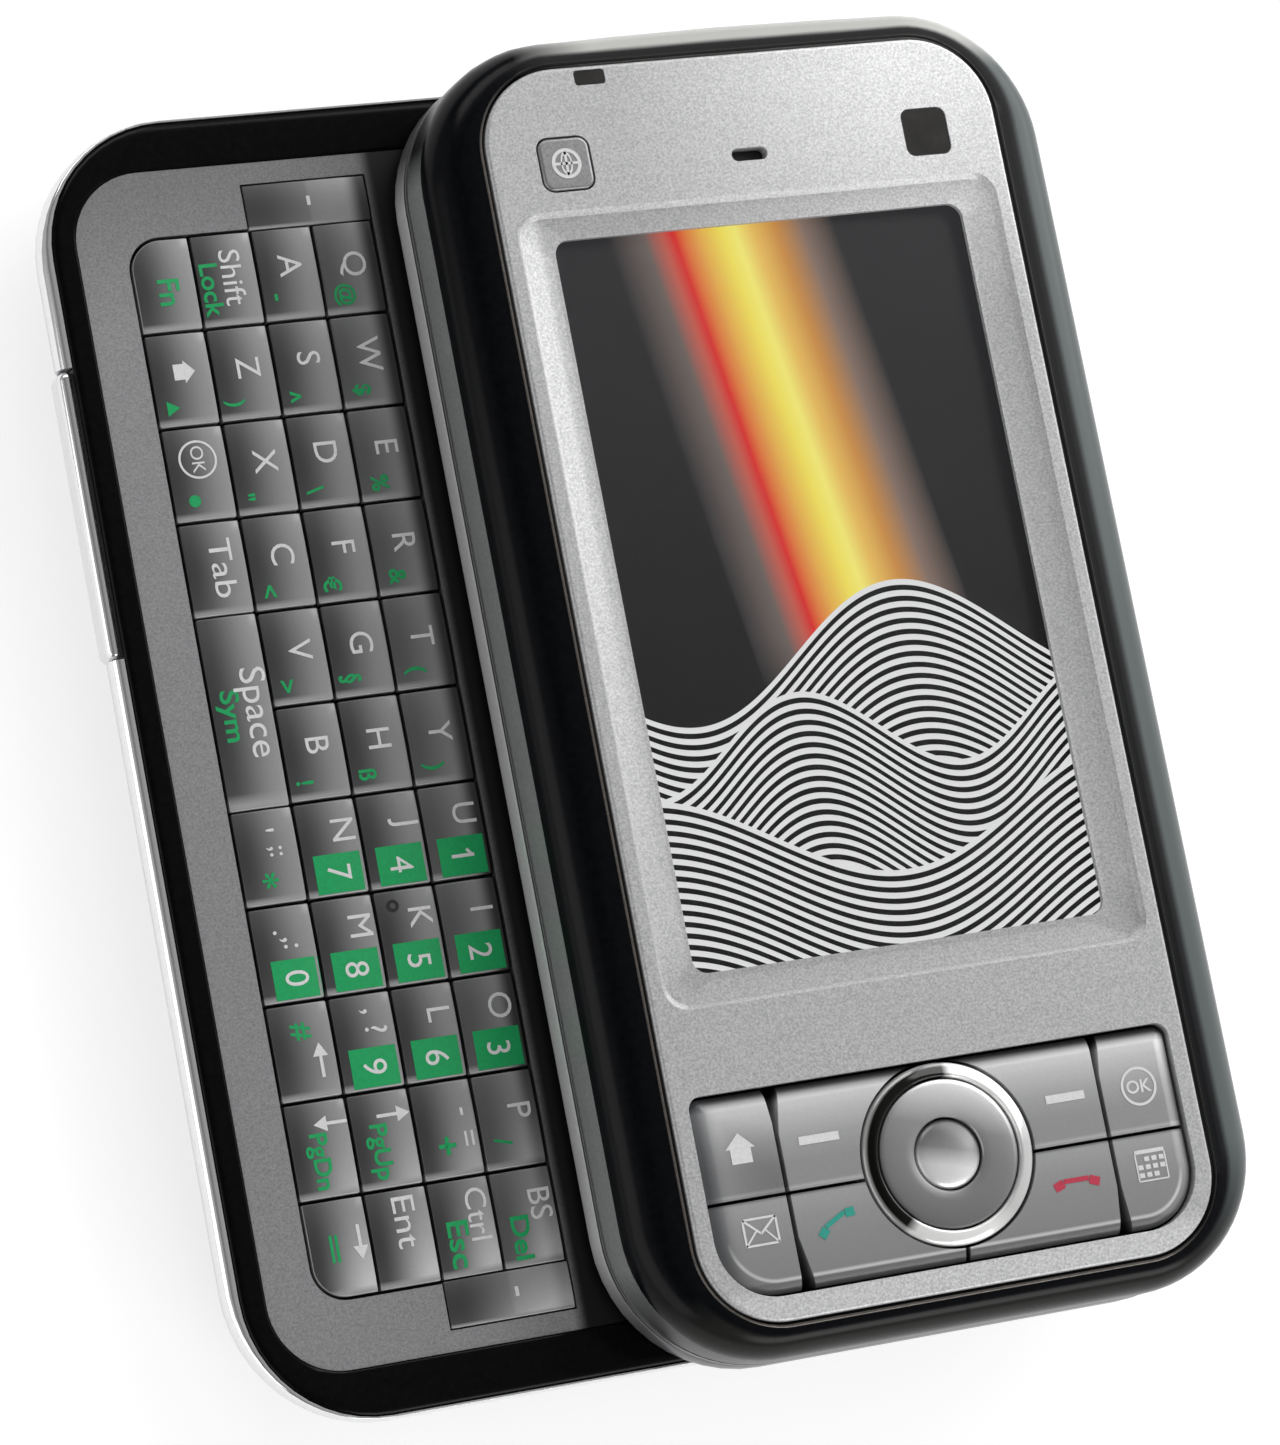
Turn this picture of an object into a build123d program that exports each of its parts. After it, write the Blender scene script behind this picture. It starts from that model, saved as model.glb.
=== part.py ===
from build123d import *

import os
from math import cos, pi, sin

# A side-sliding phone with a full keyboard, lying open on its back. All sizes are in millimetres.
# The origin is the centre of the keyboard half's flat back. X is the direction in which the display
# half slides open, Y runs up the phone towards the earpiece and Z rises from the back to the screen.

# Keyboard half: outline, height and the way the two halves meet
base_width = 60.6
base_length = 116.8
base_corner = 13.0
base_height = 10.2
slide_travel = 33.4
half_gap = 0.3

# Display half: outline and thickness
display_width = 61.0
display_length = 119.0
display_corner = 13.0
display_thickness = 11.0

# Clearances shared by many pieces
fixed_gap = 0.05
moving_gap = 0.15
press_room = 0.3
seat_gap = 0.2

# Rear housing, battery cover and battery
floor_thickness = 1.6
housing_wall = 1.3
housing_drop = 1.0
housing_inset = 1.1
waist_height = 1.2
waist_inset = 2.25
foot_inset = 1.5
cover_thickness = 0.8
cover_top_margin = 25.4
battery_width = 40.0
battery_corner = 1.5
battery_top_margin = 33.4
battery_bottom_margin = 27.4
bay_gap = 0.5
bay_wall = 1.0
contact_width = 10.0
contact_depth = 3.2

# Screws
screw_radius = 0.8
screw_head_radius = 1.5
screw_head_height = 0.6
boss_wall = 1.0
base_screw_side_margin = 8.8
base_screw_end_margin = 12.4
block_screw_spread = 12.0

# Side band, rim and keyboard panel
band_drop = 0.2
band_shoulder = 1.4
rim_side_step = 1.3
rim_end_step = 0.4
rim_flange_height = 0.8
rim_flange_side = 1.0
rim_flange_end = 1.9
rim_ledge = 1.0
rim_chamfer = 0.2
panel_side_margin = 3.6
panel_end_margin = 4.8
panel_corner = 6.5
panel_thickness = 1.15
panel_drop = 0.25
panel_gap = 0.1

# Keyboard
key_pitch_x = 5.75
keys_across = 4
keys_along = 11
key_field_side_margin = 4.5
key_field_top_margin = 2.1
key_field_bottom_margin = 1.97
key_thickness = 1.5
key_spacing = 0.3
key_outer_corner = 3.0
key_bevel = 0.3
key_proud = 0.15
soft_key_height = 4.1
key_mat_thickness = 0.9
key_mat_margin = 0.8

# Main board and the modules around it
board_thickness = 0.8
board_side_margin = 2.0
board_end_margin = 3.0
board_corner = 7.0
switch_length = 6.0
switch_root = 1.5
switch_step = 0.2
module_margin = 16.4
module_gap = 0.4
rear_camera_size = 8.6
camera_window_radius = 4.4
camera_window_thickness = 0.7
camera_window_recess = 0.3
camera_sight_radius = 3.2
speaker_screw_gap = 7.5
speaker_width = 9.0
speaker_length = 14.0
speaker_height = 3.4
speaker_corner = 1.6
grille_width = 6.0
grille_slot = 0.8
grille_pitch = 2.0
grille_slots = 5
motor_x = -13.0
motor_radius = 2.0
motor_length = 10.0
antenna_screw_gap = 3.5
antenna_length = 8.0
antenna_height = 3.0
antenna_margin = 16.4
usb_x = 15.0
usb_width = 8.0
usb_depth = 8.6
usb_height = 3.6
usb_wall = 0.4
usb_setback = 1.9
flex_width = 16.0
flex_thickness = 0.2
flex_bend = 0.35
flex_fold = 1.0
flex_inset = 2.6
flex_end_margin = 3.4

# Side keys
power_key_margin = 15.3
camera_key_margin = 25.4
side_key_length = 9.0
side_key_height = 1.5
side_key_depth = 3.4
side_key_proud = 0.1
rocker_margin = 35.0
rocker_length = 26.0
rocker_depth = 1.9
rocker_lift = 0.8
rocker_drop = 0.15
rocker_proud = 0.1
rocker_rim_gap = 0.45
rocker_round = 0.85
rocker_chamfer = 0.7
rocker_switch_spread = 18.0

# Slide mechanism: the edges of a block on the keyboard half run in rails under the display
block_closed_gap = 1.1
block_thickness = 0.7
block_overhang = 2.3
foot_width = 5.0
foot_margin = 0.3
rail_stock = 0.3
rail_web = 0.7
rail_lip = 1.8
rail_gap = 0.15
rail_side_gap = 0.2
rail_plate_thickness = 0.6
rail_plate_side_lap = 0.5
rail_plate_end_lap = 3.2
pocket_side_margin = 2.0
pocket_end_margin = 14.5
pocket_gap = 0.3
end_play = 0.5
display_screw_inset = 5.5

# Display half: shells
shoulder_height = 3.7
shoulder_side = 5.3
shoulder_end = 2.7
shoulder_corner = 8.0
shoulder_steps = 4
shell_wall = 1.4
shell_split = 3.9
shell_shoulder_wall = 2.1
deck_drop = 0.7
deck_thickness = 1.0
ledge_width = 1.75
ledge_thickness = 1.0
tray_flange = 1.0
tray_wall = 1.2
side_band_thickness = 1.0
side_band_lift = 0.4
seam_chamfer = 0.15

# Front bezel and screen
bezel_gap = 0.15
bezel_thickness = 1.3
bezel_rise = 0.2
bezel_corner = 7.5
bezel_chamfer = 0.25
step_side_margin = 1.4
step_top_margin = 13.3
step_bottom_margin = 7.4
step_corner = 2.2
window_side_margin = 3.5
window_top_margin = 2.35
window_bottom_margin = 3.15
window_corner = 1.4
step_depth = 0.8
step_landing = 0.4
glass_margin = 1.7
glass_thickness = 1.1
screen_margin = 1.2

# Earpiece, front camera, indicator light and web key above the screen
earpiece_margin = 9.5
earpiece_slot_width = 3.5
earpiece_slot_height = 1.2
earpiece_width = 12.0
earpiece_length = 6.0
top_row_side_margin = 7.2
top_row_margin = 8.9
web_key_size = 4.8
web_key_corner = 1.0
web_key_proud = 0.15
web_key_height = 2.9
web_post_size = 3.5
front_window_size = 4.4
front_window_corner = 0.8
front_window_thickness = 0.7
front_window_drop = 0.1
front_camera_size = 6.0
front_sight_radius = 1.6
indicator_side_margin = 11.0
indicator_margin = 1.1
indicator_width = 2.85
indicator_height = 1.3
indicator_drop = 0.05
display_board_side_margin = 3.3
display_board_end_margin = 7.3
display_board_corner = 4.0
chip_size = 12.0
chip_height = 0.9
chip_spread = 44.0

# Front keys and navigation ring
field_side_margin = 1.65
field_height = 18.1
field_bottom_margin = 2.2
field_top_corner = 1.2
field_bottom_corner = 5.5
outer_key_width = 7.65
front_row_split = 8.65
front_key_spacing = 0.45
front_key_drop = 0.15
front_key_bevel = 0.3
centre_split_x = 0.1
keypad_level = 1.1
keypad_thickness = 0.8
keypad_margin = 0.6
ring_top_margin = 0.3
ring_bottom_margin = 1.6
ring_width = 1.35
ring_proud = 0.25
ring_gap = 0.25
ring_round = 0.3
rocker_disk_proud = 0.1
rocker_disk_thickness = 1.75
select_radius = 3.1
select_proud = 0.3
select_round = 0.8
pivot_gap = 0.25
pivot_width = 1.9

# Levels and sizes that follow from those above, keyboard half
panel_top = base_height - panel_drop
panel_bottom = panel_top - panel_thickness
key_top = panel_top + key_proud
key_bottom = key_top - key_thickness
key_mat_top = key_bottom - press_room
board_top = key_mat_top - key_mat_thickness
board_level = board_top - board_thickness
housing_height = board_level - housing_drop
band_height = base_height - band_drop
band_widest = band_height - band_shoulder
rim_width = base_width - 2 * rim_side_step
rim_length = base_length - 2 * rim_end_step
rim_corner = base_corner - rim_side_step
panel_width = base_width - 2 * panel_side_margin
panel_length = base_length - 2 * panel_end_margin
bore_width = rim_width - 2 * rim_flange_side
bore_length = rim_length - 2 * rim_flange_end
bore_corner = rim_corner - rim_flange_side
board_width = bore_width - 2 * board_side_margin
board_length = bore_length - 2 * board_end_margin
key_field_left = key_field_side_margin - panel_width / 2
key_field_right = key_field_left + keys_across * key_pitch_x
key_field_top = panel_length / 2 - key_field_top_margin - soft_key_height
key_field_bottom = -panel_length / 2 + key_field_bottom_margin + soft_key_height
key_pitch_y = (key_field_top - key_field_bottom) / keys_along
cover_end = base_length / 2 - cover_top_margin
battery_bottom = cover_thickness + seat_gap
battery_top = board_level - press_room
battery_length = base_length - battery_top_margin - battery_bottom_margin
battery_y = (battery_bottom_margin - battery_top_margin) / 2
base_screw_x = base_width / 2 - base_screw_side_margin
base_screw_y = base_length / 2 - base_screw_end_margin
module_y = base_length / 2 - module_margin
speaker_x = base_screw_x - speaker_screw_gap
antenna_width = 2 * (base_screw_x - antenna_screw_gap)
antenna_y = -base_length / 2 + antenna_margin
power_key_x = power_key_margin - base_width / 2
camera_key_y = camera_key_margin - base_length / 2
side_key_level = board_level + board_thickness / 2
rocker_y = base_length / 2 - rocker_margin
rocker_bottom = housing_height + rocker_lift

# Levels and sizes that follow from those above, display half
display_bottom = base_height + half_gap
display_top = display_bottom + display_thickness
bezel_bottom = display_top - bezel_thickness
shell_top = display_top - bezel_rise
shoulder_bottom = shell_top - shoulder_height
split_level = display_bottom + shell_split
deck_bottom = split_level + deck_drop
deck_top = deck_bottom + deck_thickness
bezel_width = display_width - 2 * (shoulder_side + 2 * bezel_gap)
bezel_length = display_length - 2 * (shoulder_end + 2 * bezel_gap)
tray_width = display_width - 2 * side_band_thickness
tray_length = display_length - 2 * side_band_thickness
tray_corner = display_corner - side_band_thickness
display_board_width = tray_width - 2 * (tray_wall + display_board_side_margin)
display_board_length = tray_length - 2 * (tray_wall + display_board_end_margin)
pocket_half_width = tray_width / 2 - pocket_side_margin
pocket_half_length = display_length / 2 - pocket_end_margin
keypad_bottom = deck_top + keypad_level
keypad_top = keypad_bottom + keypad_thickness
front_key_bottom = keypad_top + press_room
field_width = bezel_width - 2 * field_side_margin
field_bottom = -bezel_length / 2 + field_bottom_margin
field_y = field_bottom + field_height / 2
front_split_y = field_bottom + front_row_split
ring_radius = (field_height - ring_top_margin - ring_bottom_margin) / 2
ring_y = field_bottom + ring_bottom_margin + ring_radius
step_width = bezel_width - 2 * step_side_margin
step_bottom = field_bottom + field_height + step_bottom_margin
step_top = bezel_length / 2 - step_top_margin
step_length = step_top - step_bottom
step_y = (step_bottom + step_top) / 2
window_width = step_width - 2 * window_side_margin
window_length = step_length - window_bottom_margin - window_top_margin
window_y = step_y + (window_bottom_margin - window_top_margin) / 2
earpiece_y = bezel_length / 2 - earpiece_margin
top_row_x = bezel_width / 2 - top_row_side_margin
top_row_y = bezel_length / 2 - top_row_margin
indicator_x = indicator_side_margin - bezel_width / 2
indicator_y = bezel_length / 2 - indicator_margin
rocker_disk_bottom = display_top + rocker_disk_proud - rocker_disk_thickness

# Levels of the rails and of the block between them
lip_bottom = display_bottom + pocket_gap
lip_top = lip_bottom + rail_stock
tongue_bottom = lip_top + rail_gap
tongue_top = tongue_bottom + block_thickness
tray_floor_top = tongue_top + rail_gap
web_outer = pocket_half_length - pocket_gap
web_inner = web_outer - rail_web
lip_inner = web_inner - rail_lip
block_half_length = web_inner - rail_side_gap
foot_outer = block_half_length - block_overhang
block_left = slide_travel - pocket_half_width + end_play
block_right = pocket_half_width - block_closed_gap
block_x = (block_left + block_right) / 2
foot_right = min(block_right, panel_width / 2 - foot_margin)
block_screw_y = foot_outer - foot_width / 2
display_screw_x = pocket_half_width - display_screw_inset
display_screw_y = pocket_half_length + rail_plate_end_lap / 2


def prism(width, length, corner, bottom, top, x=0.0, y=0.0):
    """Upright block with a rounded rectangular outline."""
    return Pos(x, y, bottom) * extrude(RectangleRounded(width, length, corner), top - bottom)


def block(left, right, front, back, bottom, top):
    """Plain block between six faces."""
    middle = Pos((left + right) / 2, (front + back) / 2, (bottom + top) / 2)
    return middle * Box(right - left, back - front, top - bottom)


def centred_block(width, length, bottom, top, x=0.0, y=0.0):
    """Plain upright block about a point."""
    return Pos(x, y, (bottom + top) / 2) * Box(width, length, top - bottom)


def bar(radius, bottom, top, x=0.0, y=0.0):
    """Round bar standing between two levels."""
    return Pos(x, y, (bottom + top) / 2) * Cylinder(radius, top - bottom)


def skinned_block(sections):
    """Block skinned through rounded rectangles given as width, length, corner, level and y."""
    outlines = []
    for width, length, corner, level, y in sections:
        outlines.append(Pos(0, y, level) * RectangleRounded(width, length, corner))
    return loft(outlines, ruled=True)


def bowed_sections(low, high, bottom, top, steps):
    """Outlines that follow a quarter ellipse from a wide low outline to a narrow high one."""
    sections = []
    for step in range(steps + 1):
        angle = pi / 2 * step / steps
        outline = [upper + (lower - upper) * cos(angle) for lower, upper in zip(low, high)]
        sections.append((*outline, bottom + (top - bottom) * sin(angle), 0.0))
    return sections


def top_edges(shape):
    """Edges around the highest flat face."""
    return shape.faces().sort_by(Axis.Z)[-1].edges()


# ---------------------------------------------------------------- keyboard half

def housing_section(level, wall=0.0):
    """Outline of the tapered rear housing at a level above its waist, less a wall."""
    rise = (level - waist_height) / (housing_height - waist_height)
    inset = housing_inset + waist_inset * (1 - rise) + wall
    return (base_width - 2 * inset, base_length - 2 * inset, base_corner - inset, level, 0.0)


def housing_blank():
    """Outside of the rear housing and battery cover together: foot, waist and tapered wall."""
    waist = housing_section(waist_height)
    foot = (waist[0] - 2 * foot_inset, waist[1] - 2 * foot_inset, waist[2] - foot_inset, 0.0, 0.0)
    return skinned_block([foot, waist, housing_section(housing_height)])


def cover_region(clearance):
    """Space that the battery cover takes under the housing floor."""
    half_width = base_width / 2
    back = cover_end + clearance
    return block(-half_width, half_width, -base_length / 2, back, 0, cover_thickness + clearance)


def base_screw_spots():
    """Places of the screws that hold the keyboard half together."""
    return [(x, y) for x in (-base_screw_x, base_screw_x) for y in (-base_screw_y, base_screw_y)]


def usb_hole():
    """Mouth for the plug through the end wall."""
    reach = base_length / 2
    return block(
        usb_x - usb_width / 2 - moving_gap,
        usb_x + usb_width / 2 + moving_gap,
        -reach,
        -reach + usb_setback + usb_depth / 2,
        board_level - usb_height - moving_gap,
        board_level + moving_gap,
    )


def rear_housing():
    """Tub that holds the battery and boards, with the battery bay open to the back."""
    tub = housing_blank() - cover_region(fixed_gap)
    tub -= skinned_block([
        housing_section(floor_thickness, housing_wall),
        housing_section(housing_height, housing_wall),
    ])
    bay_width = battery_width + 2 * bay_gap
    bay_length = battery_length + 2 * bay_gap
    wall_width = bay_width + 2 * bay_wall
    wall_length = bay_length + 2 * bay_wall
    tub += centred_block(wall_width, wall_length, floor_thickness, battery_top, y=battery_y)
    tub -= centred_block(bay_width, bay_length, 0, battery_top, y=battery_y)
    contact_y = battery_y + battery_length / 2 + contact_depth / 2
    contact_room = contact_width + 2 * moving_gap
    tub -= centred_block(contact_room, contact_depth, floor_thickness, battery_top, y=contact_y)
    head_top = cover_thickness + fixed_gap + screw_head_height
    for x, y in base_screw_spots():
        tub += bar(screw_radius + fixed_gap + boss_wall, floor_thickness, board_level, x, y)
        tub -= bar(screw_radius + fixed_gap, 0, board_level, x, y)
        tub -= bar(screw_head_radius + fixed_gap, 0, head_top, x, y)
    tub -= bar(camera_sight_radius, 0, floor_thickness, 0, module_y)
    recess = camera_window_recess + camera_window_thickness
    tub -= bar(camera_window_radius + fixed_gap, 0, recess, 0, module_y)
    for slot in range(grille_slots):
        y = module_y + (slot - (grille_slots - 1) / 2) * grille_pitch
        tub -= centred_block(grille_width, grille_slot, 0, floor_thickness, speaker_x, y)
    return tub - usb_hole()


def battery_cover():
    """Flat lid over the battery that slides off past the lower end."""
    return housing_blank() & cover_region(0.0)


def battery():
    """Flat lithium pack."""
    return prism(battery_width, battery_length, battery_corner, battery_bottom, battery_top,
                 y=battery_y)


def battery_contacts():
    """Contact block under the main board at the battery's upper end."""
    front = battery_y + battery_length / 2 + seat_gap
    bottom = floor_thickness + seat_gap
    half_width = contact_width / 2
    body_depth = contact_depth - seat_gap - fixed_gap
    return block(-half_width, half_width, front, front + body_depth, bottom, board_level)


def base_screws():
    """Screws up through the rear housing, and short ones down through the slide block."""
    screws = []
    head_bottom = cover_thickness + fixed_gap
    for x, y in base_screw_spots():
        head = bar(screw_head_radius, head_bottom, head_bottom + screw_head_height, x, y)
        screws.append(head + bar(screw_radius, head_bottom, board_level - seat_gap, x, y))
    for x, y in block_screw_spots():
        head = bar(screw_head_radius, tongue_top - screw_head_height, tongue_top, x, y)
        screws.append(head + bar(screw_radius, panel_bottom, tongue_top, x, y))
    return Compound(screws)


def side_key_holes():
    """Holes in the side band for the power key, the camera key and the volume rocker."""
    height = side_key_height / 2 + moving_gap
    length = side_key_length / 2 + moving_gap
    low = side_key_level - height
    high = side_key_level + height
    end = base_length / 2
    side = base_width / 2
    power = block(power_key_x - length, power_key_x + length, 0, end, low, high)
    camera = block(0, side, camera_key_y - length, camera_key_y + length, low, high)
    reach = rocker_length / 2 + moving_gap
    rocker = block(-side, 0, rocker_y - reach, rocker_y + reach, rocker_bottom - moving_gap,
                   band_height)
    return power, camera, rocker


def base_side_band():
    """Bright frame round the keyboard half, with a bowed shoulder up to the rim."""
    widest = (base_width, base_length, base_corner)
    shoulder_side_in = rim_side_step - rim_chamfer
    shoulder_end_in = rim_end_step - rim_chamfer
    top = (base_width - 2 * shoulder_side_in, base_length - 2 * shoulder_end_in,
           base_corner - shoulder_side_in)
    band = skinned_block([housing_section(housing_height), (*widest, band_widest, 0.0)])
    band += skinned_block(bowed_sections(widest, top, band_widest, band_height, shoulder_steps))
    band -= prism(bore_width, bore_length, bore_corner, housing_height, panel_bottom)
    band -= prism(rim_width + 2 * fixed_gap, rim_length + 2 * fixed_gap, rim_corner + fixed_gap,
                  panel_bottom, band_height)
    for hole in side_key_holes():
        band -= hole
    return band - usb_hole()


def base_rim():
    """Glossy rim round the keyboard, with a ledge that carries the panel."""
    rim = prism(rim_width, rim_length, rim_corner, panel_bottom, base_height)
    rim = chamfer(top_edges(rim), rim_chamfer)
    flange_bottom = panel_bottom - rim_flange_height
    rim += prism(bore_width - 2 * fixed_gap, bore_length - 2 * fixed_gap, bore_corner - fixed_gap,
                 flange_bottom, panel_bottom)
    rim -= prism(panel_width + 2 * panel_gap, panel_length + 2 * panel_gap,
                 panel_corner + panel_gap, panel_bottom, base_height)
    return rim - prism(panel_width - 2 * rim_ledge, panel_length - 2 * rim_ledge,
                       panel_corner - rim_ledge, flange_bottom, panel_bottom)


def key_field_outline(clearance):
    """Outline of the main keys, with round outer corners on the side away from the display."""
    left = key_field_left - clearance
    right = key_field_right + clearance
    front = key_field_bottom - clearance
    back = key_field_top + clearance
    outline = Pos((left + right) / 2, (front + back) / 2) * Rectangle(right - left, back - front)
    corners = outline.vertices().group_by(Axis.X)[0]
    return fillet(corners, key_outer_corner + clearance)


def soft_key_block(at_top, clearance, bottom, top):
    """Space of one of the two soft keys beyond the ends of the key field."""
    left = key_field_right - keys_across / 2 * key_pitch_x - clearance
    right = key_field_right + clearance
    if at_top:
        return block(left, right, key_field_top - clearance,
                     key_field_top + soft_key_height + clearance, bottom, top)
    return block(left, right, key_field_bottom - soft_key_height - clearance,
                 key_field_bottom + clearance, bottom, top)


def block_screw_spots():
    """Places of the screws that hold the slide block."""
    half = block_screw_spread / 2
    return [(block_x + x, y) for x in (-half, half) for y in (-block_screw_y, block_screw_y)]


def keyboard_panel():
    """Top plate with the keyboard opening, screw holes and a slot for the flat cable."""
    panel = prism(panel_width, panel_length, panel_corner, panel_bottom, panel_top)
    opening = Pos(0, 0, panel_bottom) * extrude(key_field_outline(moving_gap), panel_thickness)
    panel -= opening
    for at_top in (True, False):
        panel -= soft_key_block(at_top, moving_gap, panel_bottom, panel_top)
    for x, y in block_screw_spots():
        panel -= bar(screw_radius + fixed_gap, panel_bottom, panel_top, x, y)
    slot_left = block_left + flex_inset - moving_gap
    slot_right = block_left + flex_inset + flex_thickness + moving_gap
    half_slot = flex_width / 2 + moving_gap
    return panel - block(slot_left, slot_right, -half_slot, half_slot, panel_bottom, panel_top)


def key_cap(left, right, front, back, round_corner=None):
    """One key with bevelled upper edges; round_corner marks the end with the large corner."""
    half = key_spacing / 2
    width = right - left - key_spacing
    length = back - front - key_spacing
    outline = Pos(left + half + width / 2, front + half + length / 2) * Rectangle(width, length)
    outer = outline.vertices().group_by(Axis.X)[0].sort_by(Axis.Y)
    if round_corner == "top":
        outline = fillet(outer[-1:], key_outer_corner - half)
    if round_corner == "bottom":
        outline = fillet(outer[:1], key_outer_corner - half)
    cap = Pos(0, 0, key_bottom) * extrude(outline, key_top - key_bottom)
    return chamfer(top_edges(cap), key_bevel)


def key_group(row):
    """Keys of one landscape column: four letter keys, the double space bar or a soft key too."""
    back = key_field_top - row * key_pitch_y
    front = back - key_pitch_y
    middle_row = keys_along // 2
    caps = []
    for column in range(keys_across):
        left = key_field_left + column * key_pitch_x
        right = left + key_pitch_x
        if column == 0 and row == middle_row:
            continue
        if column == 0 and row == middle_row - 1:
            caps.append(key_cap(left, right, front - key_pitch_y, back))
        elif column == 0 and row == 0:
            caps.append(key_cap(left, right, front, back, "top"))
        elif column == 0 and row == keys_along - 1:
            caps.append(key_cap(left, right, front, back, "bottom"))
        else:
            caps.append(key_cap(left, right, front, back))
    soft_left = key_field_right - keys_across / 2 * key_pitch_x
    if row == 0:
        caps.append(key_cap(soft_left, key_field_right, key_field_top,
                            key_field_top + soft_key_height))
    if row == keys_along - 1:
        caps.append(key_cap(soft_left, key_field_right, key_field_bottom - soft_key_height,
                            key_field_bottom))
    return Compound(caps)


def keyboard_mat():
    """Rubber dome mat between the keys and the main board."""
    mat = block(key_field_left - key_mat_margin, key_field_right + key_mat_margin,
                key_field_bottom - key_mat_margin, key_field_top + key_mat_margin,
                board_top, key_mat_top)
    for at_top in (True, False):
        mat += soft_key_block(at_top, key_mat_margin, board_top, key_mat_top)
    return mat


def main_board():
    """Circuit board on the housing bosses, with side switches behind the side keys."""
    board = prism(board_width, board_length, board_corner, board_level, board_top)
    low = board_level - switch_step
    high = board_top + switch_step
    half = switch_length / 2
    power_face = base_length / 2 + side_key_proud - side_key_depth - press_room
    camera_face = base_width / 2 + side_key_proud - side_key_depth - press_room
    rocker_face = base_width / 2 + rocker_proud - rocker_depth - 2 * press_room
    root_y = board_length / 2 - switch_root
    root_x = board_width / 2 - switch_root
    board += block(power_key_x - half, power_key_x + half, root_y, power_face, low, high)
    board += block(root_x, camera_face, camera_key_y - half, camera_key_y + half, low, high)
    for side in (-1, 1):
        y = rocker_y + side * rocker_switch_spread / 2
        board += block(-rocker_face, -root_x, y - half, y + half, low, high)
    return board


def rear_camera():
    """Camera module over its hole in the housing floor."""
    top = board_level - module_gap
    return centred_block(rear_camera_size, rear_camera_size, floor_thickness, top, y=module_y)


def rear_camera_window():
    """Round cover glass let into the back."""
    top = camera_window_recess + camera_window_thickness
    return bar(camera_window_radius, camera_window_recess, top, 0, module_y)


def loudspeaker():
    """Loudspeaker over the grille slots."""
    return prism(speaker_width, speaker_length, speaker_corner, floor_thickness,
                 floor_thickness + speaker_height, speaker_x, module_y)


def vibration_motor():
    """Small round motor lying on the housing floor."""
    level = floor_thickness + motor_radius
    return Pos(motor_x, module_y, level) * Rot(0, 90, 0) * Cylinder(motor_radius, motor_length)


def antenna():
    """Antenna carrier at the lower end."""
    top = floor_thickness + antenna_height
    return centred_block(antenna_width, antenna_length, floor_thickness, top, y=antenna_y)


def usb_socket():
    """Plug socket under the lower end of the main board, open towards the end wall."""
    front = -base_length / 2 + usb_setback
    left = usb_x - usb_width / 2
    bottom = board_level - usb_height
    shell = block(left, left + usb_width, front, front + usb_depth, bottom, board_level)
    return shell - block(left + usb_wall, left + usb_width - usb_wall, front,
                         front + usb_depth - usb_wall, bottom + usb_wall, board_level - usb_wall)


def flex_cable():
    """Flat cable from the main board up through the panel, folded back under the slide block."""
    left = block_left + flex_inset + flex_thickness / 2
    right = block_right - flex_end_margin + flex_thickness / 2
    low = panel_top + flex_thickness
    high = tongue_bottom - flex_thickness
    path = FilletPolyline((left, board_top), (left, low), (right, low), (right, high),
                          (left + flex_fold, high), radius=flex_bend)
    ribbon = extrude(trace(path, flex_thickness), flex_width / 2, both=True)
    return Rot(90, 0, 0) * ribbon


def power_key():
    """Short key through the top end of the side band."""
    end = base_length / 2 + side_key_proud
    return centred_block(side_key_length, side_key_depth, side_key_level - side_key_height / 2,
                         side_key_level + side_key_height / 2, power_key_x,
                         end - side_key_depth / 2)


def camera_key():
    """Short key through the side band that the display covers when open."""
    side = base_width / 2 + side_key_proud
    return centred_block(side_key_depth, side_key_length, side_key_level - side_key_height / 2,
                         side_key_level + side_key_height / 2, side - side_key_depth / 2,
                         camera_key_y)


def volume_rocker():
    """Long rocking key that continues the side band's shoulder."""
    outer = -base_width / 2 - rocker_proud
    front = rocker_y - rocker_length / 2
    back = rocker_y + rocker_length / 2
    shoulder_inner = -rim_width / 2 - rocker_rim_gap
    body_top = panel_bottom - rim_chamfer
    body = block(outer, outer + rocker_depth, front, back, rocker_bottom, body_top)
    body += block(outer, shoulder_inner, front, back, rocker_bottom, band_height - rocker_drop)
    outer_edges = body.edges().filter_by(Axis.Y).group_by(Axis.X)[0].sort_by(Axis.Z)
    body = chamfer(outer_edges[0], rocker_chamfer)
    outer_top = body.edges().filter_by(Axis.Y).group_by(Axis.X)[0].sort_by(Axis.Z)[-1]
    return fillet(outer_top, rocker_round)


def slide_block():
    """Plate on two feet whose long edges run in the display's rails."""
    slider = block(block_left, block_right, -block_half_length, block_half_length,
                   tongue_bottom, tongue_top)
    foot_inner = foot_outer - foot_width
    slider += block(block_left, foot_right, foot_inner, foot_outer, panel_top, tongue_bottom)
    slider += block(block_left, foot_right, -foot_outer, -foot_inner, panel_top, tongue_bottom)
    for x, y in block_screw_spots():
        slider -= bar(screw_radius + fixed_gap, panel_top, tongue_top, x, y)
        slider -= bar(screw_head_radius + fixed_gap, tongue_top - screw_head_height, tongue_top,
                      x, y)
    return slider


# ---------------------------------------------------------------- display half, modelled about x = 0

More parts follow.
